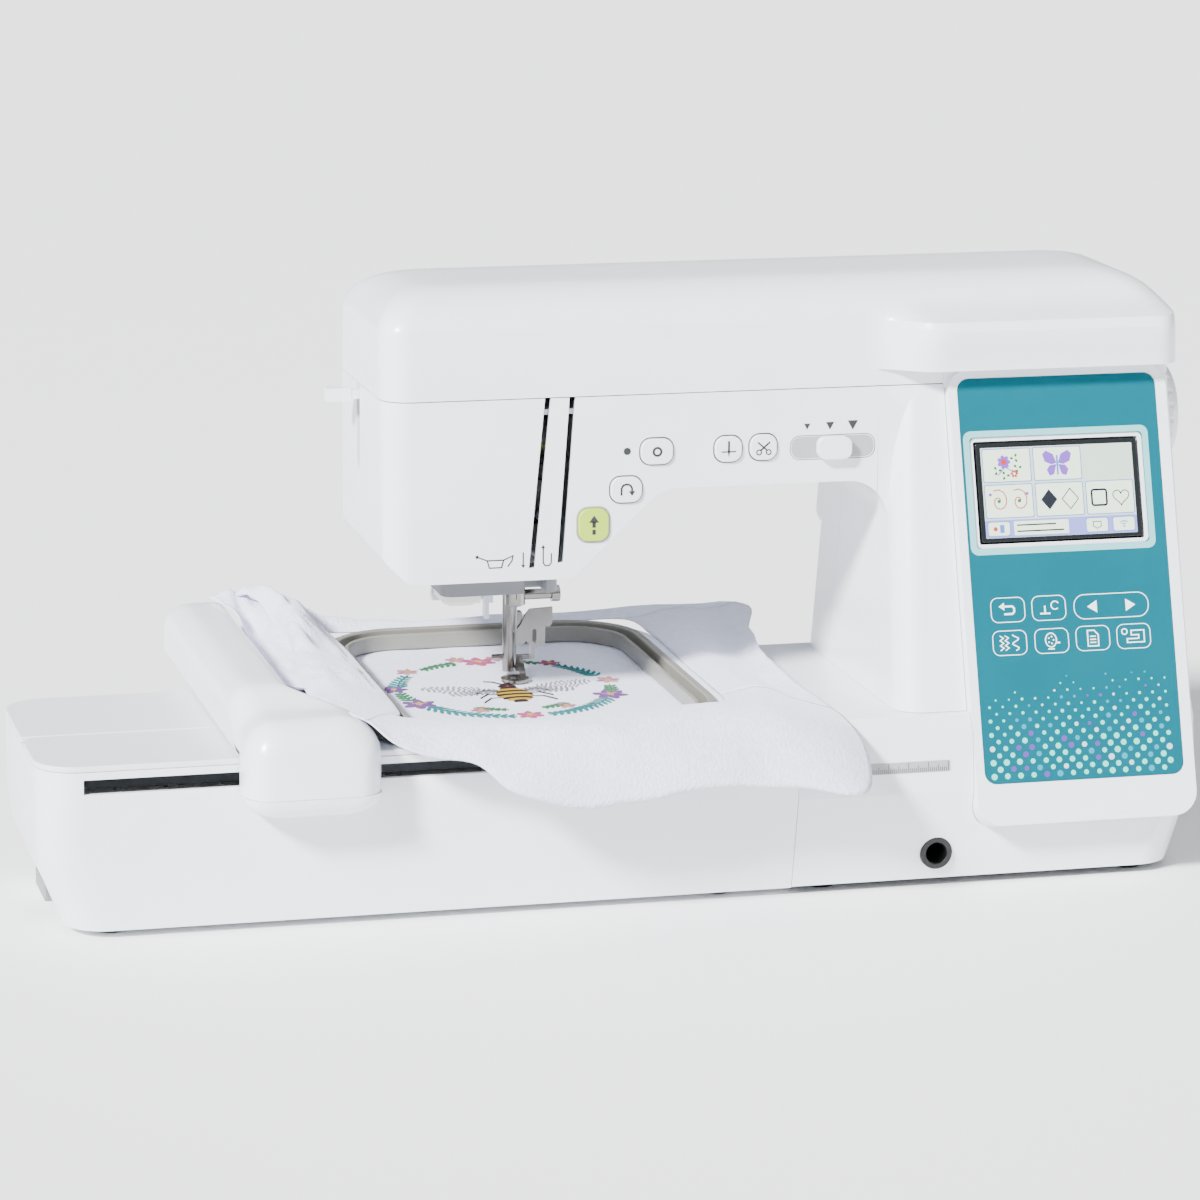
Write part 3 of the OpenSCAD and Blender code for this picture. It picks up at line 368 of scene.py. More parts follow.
def cover_ring(z):
    """Outline at height z: a crown rounded in above the shoulder, and a brow over the panel."""
    rise = min(1.0, max(0.0, (z - SHOULDER) / (CROWN - SHOULDER)))
    turn = 1 - sqrt(max(0.0, 1 - rise * rise))
    draft = 2 * step(z, 238, SHOULDER)
    x0, x1 = LEFT_X + 28 * turn, RIGHT_X - draft - 34 * turn
    y0, y1 = FRONT_Y + 3 * step(z, 250, SHOULDER) + 34 * turn, BACK_Y - draft - 30 * turn
    if z < BROW_LOW:
        front = FRONT_Y
    elif z < 266:
        front = -66 - 4 * step(z, 246, 266)
    elif z <= 270.5:
        front = -70 + 2 * step(z, 266, 270.5)
    else:
        front = -68 + 65 * (z - 270.5) / 18.5
    bulge = min(0.0, front - y0)
    r = 14.0
    ring = []
    for cx, cy, start, far in ((x1 - r, y1 - r, 0, (x0 + r, y1)), (x0 + r, y1 - r, 90, (x0, y0 + r)),
                               (x0 + r, y0 + r, 180, (x1 - r, y0)), (x1 - r, y0 + r, 270, (x1, y1 - r))):
        angles = [radians(start + 10 * k) for k in range(10)]
        ring += [(cx + r * cos(a), cy + r * sin(a)) for a in angles]
        px, py = ring[-1]
        steps = 56 if abs(far[0] - px) > 100 else 10
        ring += [(px + (far[0] - px) * k / steps, py + (far[1] - py) * k / steps) for k in range(1, steps)]
    return [(x, y + bulge * step(x, 168, 192) * min(1.0, max(0.0, -y / 49)), z) for x, y in ring]


HEIGHTS = (238.5, 240, 246, 246.4, 250, 256, 262, 266, 268.5, 270.5, 272.5, 275, 278, 281, 284, 286.3, 287.8,
           288.6, 288.95)
cover_rings = [cover_ring(z) for z in HEIGHTS]
top = cover_rings[-1]
mid = (sum(p[0] for p in top) / len(top), sum(p[1] for p in top) / len(top))
cover_rings.append([(mid[0] + (x - mid[0]) * 0.86, mid[1] + (y - mid[1]) * 0.55, CROWN) for x, y, z in top])
skin("top_cover_piece", cover_rings, "top_cover", "top_cover", (False, True), 2.5,
     drop=lambda q: all(199 < p[0] < 315 and p[1] < -30 and p[2] < BROW_LOW for p in q))
LUG_R, LUG_CHAMFER = 3.0, 0.6
for x in (30, 230):
    rings = []
    for k in (-8, -7.4, 7.4, 8):
        r = LUG_R - (LUG_CHAMFER if abs(k) == 8 else 0)
        turns = [a * pi / 12 for a in range(24)]
        rings.append([(x + k, 66 + r * cos(a), 240 + r * sin(a)) for a in turns])
    skin("cover_lug_%d" % x, rings, "top_cover", "top_cover")


# ---------- carriage ----------
QUARTER = [radians(a) for a in range(0, 91, 15)]


def arm_profile():
    """Section of the carriage's arm with its shelf, from the lower left corner over the top."""
    pts = [(-157, 87.8), (-157, 92), (-157, 96), (-157, 101)]
    pts += [(-145 - 12 * cos(a), 101 + 12 * sin(a)) for a in QUARTER[1:]]
    pts += [(-141, 113), (-137, 113)]
    pts += [(-133 + 8 * sin(a), 101 + 12 * cos(a)) for a in QUARTER]
    pts += [(-125, 97), (-124.6, 93.2), (-123.8, 92.5), (-116, 92.5), (-106, 92.5), (-98.5, 92.5)]
    return pts + [(-96.6, 91.8), (-96, 90.5), (-96, 87.8)]


def nose_profile(t, low):
    """Section of the nose; t runs from 0 at its full width to 1 at its front."""
    h = sqrt(max(0.0, 1 - t * t))
    top, side = 90 + 15.5 * h, 13 * (1 - h)
    x0, x1 = -157 + side, -92 - side
    pts = [(x0, low), (x0, low + (90 - low) * 0.33), (x0, low + (90 - low) * 0.66), (x0, 88)]
    pts += [(x0 + 15 * (1 - cos(a)), 88 + (top - 88) * sin(a)) for a in QUARTER[1:]]
    a0, b0 = x0 + 15, x1 - 20
    pts += [(a0 + (b0 - a0) * 0.33, top), (a0 + (b0 - a0) * 0.66, top)]
    pts += [(b0 + 20 * sin(a), 88 + (top - 88) * cos(a)) for a in QUARTER]
    return pts + [(x1, 88 + (low - 88) * (k + 1) / 9) for k in range(9)]


def carriage_section(y):
    """Section at y: the arm at the back, turning into the nose at the front."""
    blend = step(-y, 78, 106)
    low = 87.8 if y > -113.4 else 70.5
    arm, nose = arm_profile(), nose_profile(max(0.0, (-y - 119) / 16), low)
    turn = max(0.0, (y - 96) / 10)
    ease = 1 - sqrt(max(0.0, 1 - turn * turn))
    out = []
    for (ax, az), (nx, nz) in zip(arm, nose):
        if az > 101:
            az = 101 + (az - 101) * (1 - 0.75 * ease)
        out.append((ax + (nx - ax) * blend, y, az + (nz - az) * blend))
    return out


stops = [106, 105.8, 105, 103.5, 101.5, 99, 96] + [90 - 12 * k for k in range(14)]
stops += [-78 - 3 * k for k in range(12)] + [-113.3, -113.5, -116, -119]
stops += [-119 - 16 * sin(radians(a)) for a in range(12, 91, 13)] + [-135]
skin("carriage_shell_piece", [carriage_section(y) for y in sorted(set(stops), reverse=True)], "carriage",
     "carriage_shell", angle=34)


# ---------- flat shapes ----------
def moved(c, *points):
    """The points of a sign, given from its centre c."""
    return [(c[0] + x, c[1] + y) for x, y in points]


def rounded(cx, cy, w, h, r, n=6):
    """Loop of points round a rounded rectangle."""
    out = []
    for sx, sy, start in ((1, 1, 0), (-1, 1, 90), (-1, -1, 180), (1, -1, 270)):
        for i in range(n + 1):
            a = radians(start + 90 * i / n)
            out.append((cx + sx * (w / 2 - r) + r * cos(a), cy + sy * (h / 2 - r) + r * sin(a)))
    return out


def circle(cx, cy, r, n, ry=None):
    ry = ry or r
    turns = [2 * pi * i / n for i in range(n)]
    return [(cx + r * cos(a), cy + ry * sin(a)) for a in turns]


class Flat:
    """Collects thin raised shapes drawn in a plane, in mm, and makes one mesh of them."""

    def __init__(self):
        self.verts, self.faces = [], []

    def fill(self, loop, low=-0.1, high=0.12):
        n, k = len(loop), len(self.verts)
        self.verts += [(x, y, low) for x, y in loop] + [(x, y, high) for x, y in loop]
        self.faces.append([k + n + i for i in range(n)])
        self.faces.append([k + n - 1 - i for i in range(n)])
        self.faces += [[k + i, k + (i + 1) % n, k + n + (i + 1) % n, k + n + i] for i in range(n)]
        return self

    def ring(self, outer, inner, low=-0.1, high=0.12):
        n, k = len(outer), len(self.verts)
        for loop, z in ((outer, high), (inner, high), (outer, low), (inner, low)):
            self.verts += [(x, y, z) for x, y in loop]
        for i in range(n):
            j = (i + 1) % n
            for a, b in ((0, 1), (2, 0), (1, 3), (3, 2)):
                self.faces.append([k + a * n + i, k + a * n + j, k + b * n + j, k + b * n + i])
        return self

    def line(self, points, width, closed=False, low=-0.1, high=0.12):
        pts = [Vector(p) for p in points]
        n = len(pts)
        left, right = [], []
        for i, p in enumerate(pts):
            a = pts[i - 1] if (i or closed) else p
            b = pts[(i + 1) % n] if (i < n - 1 or closed) else p
            d1 = (p - a).normalized() if (p - a).length else (b - p).normalized()
            d2 = (b - p).normalized() if (b - p).length else d1
            t = (d1 + d2).normalized() if (d1 + d2).length > 1e-6 else d1
            nrm = Vector((-t.y, t.x))
            k = width / 2 / max(0.5, nrm.dot(Vector((-d1.y, d1.x))))
            left.append(tuple(p + nrm * k))
            right.append(tuple(p - nrm * k))
        if closed:
            return self.ring(right, left, low, high)
        return self.fill(right + left[::-1], low, high)

    def make(self, name, place, mat, slot="white_plastic", body="machine"):
        mesh = closed_mesh(name, [place @ (Vector(v) * MM) for v in self.verts], self.faces)
        put(link(name, mesh), mat, body)


def plane_at(origin, up=(0, 0, 1)):
    """Matrix of a drawing plane: x to the right, y up and z out of it."""
    r, u = Vector((1, 0, 0)), Vector(up).normalized()
    o = r.cross(u)
    m = Matrix((r, u, o)).transposed().to_4x4()
    m.translation = origin
    return m


# ---------- control panel ----------
LEAN = radians(17.4)
p_low, p_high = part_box("panel_frame")
PANEL_W = (p_high[0] - p_low[0]) / MM
OVERLAY_DEPTH = 0.3
up_slope = Vector((0, sin(LEAN), cos(LEAN)))
panel_origin = at(201, -121.3, 34)
inward = Vector((0, cos(LEAN), -sin(LEAN)))
PANEL = plane_at(panel_origin + inward * OVERLAY_DEPTH * MM, up_slope)
shell("panel_overlay", 0.15, "teal")

DX, DZ, DW, DL = 12.0, 137.0, 82.5, 48.0
BORDER = [rounded(DX + DW / 2, DZ + DL / 2, DW + more, DL + more, r) for more, r in ((12.4, 4), (6.2, 2))]
Flat().ring(*BORDER).make("display_border", PANEL, "teal_border", "teal_film")
shell("display_module", 0.3, "glass")

# display picture: two rows of tiles and a bar of signs
LCD = plane_at(panel_origin + inward * 0.6 * MM, up_slope)
lx, lz, lw, ll = DX + 2.2, DZ + 1.8, DW - 4.8, DL - 4
BAR_Z = lz + 4.4
INK, THICK_INK = (0.08, 0.13), (0.08, 0.14)
art = {tone: Flat() for tone in ("back", "tile", "line", "bar", "red", "green", "purple", "dark")}
art["back"].fill(rounded(lx + lw / 2, lz + ll / 2, lw, ll, 0.5), -0.05, 0.05)
cell_w, cell_h = lw / 3, (ll - 9) / 2
cells = []
for row in range(2):
    for col in range(3):
        cx = lx + cell_w * (col + 0.5)
        cy = lz + 9 + cell_h * (1.5 - row)
        cells.append((cx, cy))
        if (row, col) != (0, 2):
            art["tile"].fill(rounded(cx, cy, cell_w - 1.6, cell_h - 1.4, 0.8), 0.05, 0.09)
            art["line"].ring(rounded(cx, cy, cell_w - 1.2, cell_h - 1.0, 0.9),
                                 rounded(cx, cy, cell_w - 2.0, cell_h - 1.8, 0.7), 0.05, 0.12)


def petals(tone, cx, cy, r, count, width, turn=0.0):
    """A flower or a sprig of ovals; each lies a little higher than the one before it."""
    for k in range(count):
        a = turn + 2 * pi * k / count
        px, py, c, d = cx + r * cos(a), cy + r * sin(a), cos(a), sin(a)
        art[tone].fill([(px + 0.55 * r * c * cos(t) - width * d * sin(t),
                         py + 0.55 * r * d * cos(t) + width * c * sin(t))
                        for t in [pi * q / 6 for q in range(12)]], 0.08, 0.13 + 0.01 * k)


# first tile: flowers; second tile: a butterfly
(cx, cy), (bx0, by0) = cells[0], cells[1]
art["line"].line(moved(cells[0], (-5, -5), (-1, -1), (5, -4)), 0.5, False, 0.08, 0.12)
for px, py, turn in ((-5, -2.5, 2.2), (5.4, -1.6, 0.3), (-1, -5, 4.2), (4.2, 3.4, 1.1)):
    petals("green", cx + px, cy + py, 1.5, 3, 0.6, turn)
petals("purple", cx - 1.4, cy + 1.6, 2.2, 7, 1.0)
art["red"].fill(circle(cx - 1.4, cy + 1.6, 1.4, 14), 0.1, 0.24)
petals("red", cx + 3.6, cy - 4.2, 1.3, 6, 0.6)
for s in (-1, 1):
    for wing in (((0.4, 0.2), (2, 4.6), (5.6, 6.4), (7.4, 4.6), (6.4, 1), (3, -0.5)),
                 ((0.5, -0.4), (4, -0.9), (5.6, -3), (4.2, -6), (1.9, -5.2))):
        art["purple"].fill([(bx0 + s * u, by0 + v) for u, v in wing][::s], *THICK_INK)
art["line"].line(moved(cells[1], (0, -5.5), (0, 4)), 0.9, False, 0.08, 0.17)
# third tile: two spirals
cx, cy = cells[3]
for s in (-1, 1):
    spiral = []
    for q in range(15):
        r, a = 0.6 + 0.32 * q, q * 0.6
        spiral.append((cx + s * 5.2 + r * cos(a), cy + r * sin(a) * 1.2))
    art["red"].line(spiral, 0.55, False, *INK)
    art["green"].fill(circle(cx + s * 5.2, cy, 0.9, 10), 0.08, 0.15)
    art["purple"].fill(circle(cx + s * 9.4, cy + 3.4, 0.8, 10), 0.08, 0.15)
# fourth tile: two diamonds; fifth tile: a square and a heart
art["dark"].fill(moved(cells[4], (-5.4, -5), (-1.2, 0), (-5.4, 5), (-9.6, 0)), *INK)
art["dark"].line(moved(cells[4], (5.4, -5), (9.6, 0), (5.4, 5), (1.2, 0)), 0.45, True, *INK)
cx, cy = cells[5]
art["dark"].ring(rounded(cx - 5.6, cy, 8.6, 8.6, 1.6), rounded(cx - 5.6, cy, 6.6, 6.6, 0.6), *INK)
heart = [(cx + 5.6 + 0.26 * 16 * sin(t) ** 3,
          cy + 0.26 * (13 * cos(t) - 5 * cos(2 * t) - 2 * cos(3 * t) - cos(4 * t)))
         for t in [2 * pi * i / 28 for i in range(28)]]
art["dark"].line(heart, 0.45, True, *INK)
# bar of signs
art["bar"].fill(rounded(lx + lw / 2, BAR_Z, lw, 8.6, 0.6), 0.04, 0.08)
for cx, w in ((lx + 6.8, 11.6), (lx + lw - 20.6, 11.6), (lx + lw - 6.8, 11.6)):
    art["line"].ring(rounded(cx, BAR_Z, w, 7.2, 1.4), rounded(cx, BAR_Z, w - 0.7, 6.5, 1.1), 0.06, 0.12)
    art["tile"].fill(rounded(cx, BAR_Z, w - 0.6, 6.6, 1.1), 0.06, 0.1)
art["red"].fill(circle(lx + 5, BAR_Z, 1.1, 10), *THICK_INK)
art["line"].fill(rounded(lx + 8.4, BAR_Z, 2.2, 4, 0.4), *THICK_INK)
art["tile"].fill(rounded(lx + 28.5, BAR_Z, 28, 6.8, 0.4), 0.06, 0.1)
for k, w in ((1.5, 20), (-1.5, 24)):
    art["dark"].line([(lx + 16, BAR_Z + k), (lx + 16 + w, BAR_Z + k)], 0.7, False, *INK)
right = lx + lw
art["dark"].line([(right - 22.6, lz + 6), (right - 18.6, lz + 6), (right - 18.6, lz + 3.8),
                  (right - 20.6, lz + 2.6), (right - 22.6, lz + 3.8)], 0.4, True, *THICK_INK)
for r in (1.2, 2.4):
    arc = [(right - 6.8 + r * cos(a), lz + 3.4 + r * sin(a)) for a in (0.7, 1.1, 1.57, 2.05, 2.45)]
    art["line"].line(arc, 0.5, False, *THICK_INK)
art["line"].fill(circle(right - 6.8, lz + 3.2, 0.5, 8), *THICK_INK)
for tone, flat in art.items():
    flat.make("lcd_" + tone + "_marks", LCD, "lcd_" + tone, "display_glass")

# keys under the display: outlined fields with signs
keys = Flat()
KEY = [
    (22.3, 103.8, 17.5, 12.2), (43.2, 103.8, 17.5, 12.2), (75.2, 103.5, 38.6, 12.2),
    (22.1, 87.8, 17.5, 12.2), (43.5, 87.8, 17.5, 12.2), (64.6, 88.1, 17.5, 12.2), (85.6, 88.1, 17.5, 12.2),
]
for cx, cy, w, h in KEY:
    r = 5.6 if w > 30 else 3.6
    keys.ring(rounded(cx, cy, w, h, r, 8), rounded(cx, cy, w - 0.75, h - 0.75, r - 0.38, 8))
k0, k1, k2, k3, k4, k5, k6 = [c[:2] for c in KEY]
# back
keys.line(moved(k0, (-2.6, 1.7), (2.2, 1.7), (3.2, 0.8), (3.2, -1), (2.2, -2), (-2, -2)), 0.95)
keys.fill(moved(k0, (-4.6, 1.7), (-1.8, -0.2), (-1.8, 3.6)))
# foot and an arc
keys.line(moved(k1, (-4.6, -2.6), (0.6, -2.6)), 0.8)
keys.line(moved(k1, (-2, -2.4), (-2, 1.2)), 0.8)
loop = [0.5 + 0.5 * q for q in range(11)]
keys.line([(k1[0] + 3.2 + 2 * cos(a), k1[1] + 1.2 + 2 * sin(a)) for a in loop], 0.55)
# to the left and to the right
keys.fill(moved(k2, (-12.4, 0), (-7.4, -3), (-7.4, 3)))
keys.fill(moved(k2, (12.4, 0), (7.4, 3), (7.4, -3)))
# stitches
for x in (-4, -1.4):
    keys.line([(k3[0] + x + (0.9 if q % 2 else -0.9), k3[1] - 3.6 + 1.2 * q) for q in range(7)], 0.5)
keys.line([(k3[0] + 3 + 1.6 * sin(q * 0.9), k3[1] - 3.8 + 0.64 * q) for q in range(13)], 0.55)
# hoop with a pattern
keys.line(circle(k4[0] - 0.4, k4[1] + 0.4, 2.8, 16, 3.4), 0.55, True)
for a in [1.257 * q for q in range(5)]:
    keys.fill(circle(k4[0] - 0.4 + 1.3 * cos(a), k4[1] + 0.4 + 1.7 * sin(a), 0.42, 8))
keys.line(moved(k4, (2.2, -1), (4.2, -1)), 0.8)
keys.line(moved(k4, (-2, -3.9), (1.2, -3.9)), 0.6)
# page
keys.line(moved(k5, (-2.6, -3.8), (2.8, -3.8), (2.8, 1.6), (0.8, 3.8), (-2.6, 3.8)), 0.6, True)
for q in range(3):
    keys.line([(k5[0] - 1.4, k5[1] + 0.9 - 1.5 * q), (k5[0] + 1.6, k5[1] + 0.9 - 1.5 * q)], 0.6)
# machine
outline = ((-3.4, -3), (5.4, -3), (5.4, 2.8), (-1.2, 2.8), (-1.2, 0.6), (2.6, 0.6), (2.6, -1.2), (-3.4, -1.2))
keys.line(moved(k6, *outline), 0.6, True)
keys.line(circle(k6[0] - 4.6, k6[1] + 2.4, 1.4, 12), 0.55, True)
keys.make("panel_keys", PANEL, "ink_white", "teal_film")

# staggered dots over the lower part, smaller towards the top of the field
SHARES = (("dot_mint", 0.7), ("dot_pale", 0.8), ("dot_purple", 0.88), ("dot_blue", 1))
dots = {tone: Flat() for tone, share in SHARES}
DOT_PITCH = 6.7
rng = random.Random(11)
for row in range(17):
    for col in range(14):
        u = 9.4 + col * DOT_PITCH + (DOT_PITCH / 2 if row % 2 else 0)
        v = 23.6 + row * DOT_PITCH / 2
        depth = (64 + 10 * u / PANEL_W + 3 * sin(u * 0.3) - v) / 32
        if u > PANEL_W - 9 or depth < 0 or rng.random() > 0.5 + 2 * depth:
            continue
        pick = rng.random()
        tone = next(t for t, share in SHARES if pick < share)
        r = (0.4 + 1.05 * min(1.0, depth)) * (0.85 + 0.25 * rng.random())
        dots[tone].fill(circle(u, v, r, 14), -0.1, 0.06)
for tone, flat in dots.items():
    flat.make("panel_" + tone, PANEL, tone, "teal_film")

# ---------- head controls ----------
HEAD_FRONT = -52.0
HEAD, CAP = plane_at(at(0, HEAD_FRONT, 0)), plane_at(at(0, HEAD_FRONT - 1.6, 0))


def arrow(flat, x, y, dx, dy, size):
    """An arrowhead whose base is at x, y and which points along dx, dy."""
    base, n = Vector((x, y)), Vector((-dy, dx))
    tip = base + Vector((dx, dy)) * size
    flat.fill([tuple(tip), tuple(base + n * size * 0.7), tuple(base - n * size * 0.7)])


def centre(node):
    low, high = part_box(node)
    return ((low[0] + high[0]) / 2 - NEEDLE[0]) / MM, (low[2] + high[2]) / 2 / MM


for node in BUTTONS:
    x, z = c = centre(node)
    starts = node == "start_stop_button"
    g = Flat()
    if node == "reverse_button":
        bow = moved(c, (-2.6, -2.6), (-2.6, 0.8), (-1.8, 2.2), (0, 2.8), (1.8, 2.2), (2.6, 0.8), (2.6, -0.6))
        g.line(bow, 0.95)
        arrow(g, x + 2.6, z - 0.6, 0, -1, 2.4)
    elif node == "reinforcement_button":
        g.line(circle(x, z, 1.9, 22), 1.1, True)
    elif node == "needle_position_button":
        g.line(moved(c, (0, 4), (0, -1.6)), 1.0)
        g.fill(moved(c, (-0.5, -1.5), (0.5, -1.5), (0, -4)))
        g.line(moved(c, (-3.6, -1.2), (3.6, -1.2)), 0.6)
    elif node == "thread_cutter_button":
        g.line(moved(c, (-3, 2.6), (1.6, -1.4)), 0.8)
        g.line(moved(c, (3, 2.6), (-1.6, -1.4)), 0.8, False, -0.1, 0.14)
        g.line(circle(x + 2.4, z - 2.3, 1.2, 12), 0.6, True)
        g.line(circle(x - 2.4, z - 2.3, 1.2, 12), 0.6, True)
    else:
        g.line(moved(c, (0, -4.6), (0, -2.2)), 1.7)
        g.line(moved(c, (0, -1.2), (0, 1.6)), 1.7)
        arrow(g, x, z + 1.2, 0, 1, 3.6)
    g.make(node + "_sign", CAP, "dark_line", SLOT_OF[node], BODY_OF[node])
    low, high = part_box(node)
    w, h = (high[0] - low[0]) / MM, (high[2] - low[2]) / MM
    edges = [rounded(x, z, w + more, h + more, r) for more, r in ((1.9 if starts else 1.3, 5.6), (0.5, 5.2))]
    Flat().ring(*edges, -0.3, 0.08).make(node + "_rim", HEAD, "light_grey" if starts else "dark_line")

marks = Flat()
sx, sz = centre("speed_slider")
marks.ring(rounded(sx, sz, 43, 12, 5), rounded(sx, sz, 42.4, 11.4, 4.7))
for k, size in ((-13, 1.6), (-1.5, 2.1), (10, 2.6)):
    tx, tz = sx + k, sz + 10.5
    marks.fill([(tx, tz - size), (tx + size, tz + size * 0.8), (tx - size, tz + size * 0.8)])
marks.fill(circle(42.5, 211, 1.8, 16))
marks.make("head_marks", HEAD, "dark_line")
Flat().fill(rounded(sx, sz, 41.6, 10.6, 4.6), -0.2, 0.02).make("slider_slot_floor", HEAD, "light_grey")

# plate behind the upper corners of the panel frame
brow = Flat().fill([(200.5, 236), (314, 236), (314, 245.9), (200.5, 245.9)], -1.5, 1.5)
brow.make("panel_brow_piece", plane_at(at(0, -51.5, 0)), "white")

# threading signs
guide = Flat()
guide.line([(-31, 162.6), (-26, 160.6), (-25, 157), (-19, 157), (-18, 160.6), (-26, 160.6)], 0.6)
guide.line([(-18, 160.6), (-13.4, 162.6), (-14, 160), (-16, 157.4)], 0.6)
arrow(guide, -30.6, 162.4, -0.93, 0.37, 1.6)
guide.line([(-8.4, 164), (-8.4, 157.6)], 0.6)
arrow(guide, -8.4, 157.8, 0, -1, 1.5)
guide.line([(1.4, 166), (1.4, 158.4), (2.4, 157), (4.4, 157), (5.4, 158.4), (5.4, 163)], 0.6)
arrow(guide, 1.4, 165.6, 0, 1, 1.5)
guide.make("threading_signs", HEAD, "dark_line")

# ---------- ruler on the base ----------
RULER = plane_at(at(0, -110.6, 62.7), (0, 3.5, 27))
ruler = Flat()
Flat().fill(rounded(168, 0, 42, 5.4, 0.8), -1.2, 0.0).make("ruler_band", RULER, "light_grey")
for k in range(41):
    tall = 4.6 if k % 10 == 0 else 3.2 if k % 5 == 0 else 2.0
    ruler.line([(148 + k, -2.4), (148 + k, -2.4 + tall)], 0.28, False, -0.2, 0.08)
ruler.make("ruler_ticks", RULER, "dark_line")

# ---------- satin stitches on the hooped cloth ----------
CLOTH_Z = 87.7


class Stitches:
    """Rows of raised threads laid across shapes drawn in plan, in mm from the needle."""

    def __init__(self):
        self.verts, self.faces = [], []

    def thread(self, a, b, width=0.55, high=0.5):
        """One raised thread from a to b."""
        a, b = Vector(a), Vector(b)
        if (b - a).length < 0.3:
            return
        d = (b - a).normalized()
        n = Vector((-d.y, d.x)) * width / 2
        k = len(self.verts)
        for t, h in ((0, 0.05), (0.2, high * 0.8), (0.5, high), (0.8, high * 0.8), (1, 0.05)):
            p = a.lerp(b, t)
            self.verts += [(p.x + n.x, p.y + n.y, -0.25), (p.x, p.y, h), (p.x - n.x, p.y - n.y, -0.25)]
        for i in range(4):
            q = k + 3 * i
            self.faces += [[q, q + 3, q + 4, q + 1], [q + 1, q + 4, q + 5, q + 2]]

    def leaf(self, start, end, width, pitch=0.5, slant=0.35, blunt=0.0):
        """Threads across a leaf from start to end; a blunt of 1 keeps its full width to the ends."""
        a, b = Vector(start), Vector(end)
        d = b - a
        n = Vector((-d.y, d.x)).normalized()
        count = max(4, int(d.length / pitch))
        for i in range(count + 1):
            t = i / count
            p = a + d * t
            half = width / 2 * max(blunt, sin(pi * min(1, 0.04 + t * 0.92)) ** 0.7)
            lean = d.normalized() * half * slant
            self.thread(p - n * half - lean, p + n * half + lean)

    def path(self, points):
        for a, b in zip(points, points[1:]):
            self.leaf(a, b, 0.8, 0.55, 0.5, 1.0)

    def knot(self, x, y, r):
        k, n = len(self.verts), 8
        self.verts.append((x, y, 0.6))
        for share, h in ((0.6, 0.45), (1.0, -0.2)):
            self.verts += [(px, py, h) for px, py in circle(x, y, r * share, n)]
        for i in range(n):
            j = (i + 1) % n
            self.faces.append([k, k + 1 + i, k + 1 + j])
            self.faces.append([k + 1 + i, k + 1 + n + i, k + 1 + n + j, k + 1 + j])

    def make(self, name, mat):
        mesh = bpy.data.meshes.new(name)
        mesh.from_pydata([at(x, y, CLOTH_Z + z) for x, y, z in self.verts], [], self.faces)
        for p in mesh.polygons:
            p.use_smooth = True
        return put(link(name, mesh), mat, "hoop")


work = {key: Stitches() for key in THREAD_COLOURS}
# insect: striped body, feelers, legs and two pairs of dotted wings
bx, by = -6, -24
for k in range(9):
    tone = "yellow" if k % 2 else "brown"
    half = 9 * sin(pi * (0.14 + 0.095 * k)) ** 0.8
    for j in range(7):
        y = by + 12 - k * 3.2 - j * 0.46
        work[tone].thread((bx - half, y), (bx + half, y + 0.25), 0.6, 0.55)
work["brown"].leaf((bx, by + 11), (bx, by + 20), 9, 0.45, 0, 0.6)
work["pink"].leaf((bx, by + 13), (bx, by + 17), 3.6, 0.45, 0, 0.5)
for s in (-1, 1):
    work["brown"].path([(bx + s * 1.5, by + 19), (bx + s * 5, by + 25), (bx + s * 9, by + 27)])
    for q in range(3):
        knee = (bx + s * 13, by + 9 - 8 * q)
        work["brown"].path([(bx + s * 7, by + 6 - 6 * q), knee, (bx + s * 18, by + 3 - 9 * q)])
    for reach, half, turn in ((19, 7.5, 22), (13, 5.5, -14)):
        c, d = cos(radians(turn)), sin(radians(turn))
        for row in range(-3, 4):
            v = row * half / 3.4
            span = reach * sqrt(max(0.0, 1 - (v / half) ** 2))
            u = -span
            while u < span - 1:
                ends = [(bx + s * (6 + reach + w * c - v * d), by + 8 + w * d + v * c + 0.35 * turn * 0.5)
                        for w in (u, u + 1.5)]
                work["grey"].thread(*ends, 0.7)
                u += 2.6 + 0.3 * (row % 2)


def round_wreath(turn, grow):
    """A point of the wreath's oval, or of one that is larger by grow."""
    a = radians(turn)
    return Vector((-8 + (52 + grow) * cos(a), -12 + (57 + grow) * sin(a)))


def flower(turn, size, tone, tone2, grow):
    x, y = round_wreath(turn, grow)
    for q in range(6):
        b = radians(60 * q + turn)
        for reach, width, t in ((1, 0.62, tone), (0.6, 0.28, tone2)):
            work[t].leaf((x + 1.5 * cos(b), y + 1.5 * sin(b)),
                         (x + reach * size * cos(b), y + reach * size * sin(b)), size * width)
    for q in range(7):
        b = 2 * pi * q / 7
        work["yellow"].knot(x + 0.16 * size * cos(b), y + 0.16 * size * sin(b), 0.8)


def fern(first, last, size, tone, grow=0.0):
    count = max(4, int(abs(last - first) / 4))
    spots = [round_wreath(first + (last - first) * i / count, grow) for i in range(count + 1)]
    work[tone].path(spots)
    for i in range(count):
        d = (spots[i + 1] - spots[i]).normalized()
        n = Vector((-d.y, d.x))
        for side in (-1, 1):
            tip = spots[i] + (d * 0.7 + n * side * 0.8) * size * (1 - 0.4 * i / count)
            work[tone].leaf(spots[i], tip, 2.1)


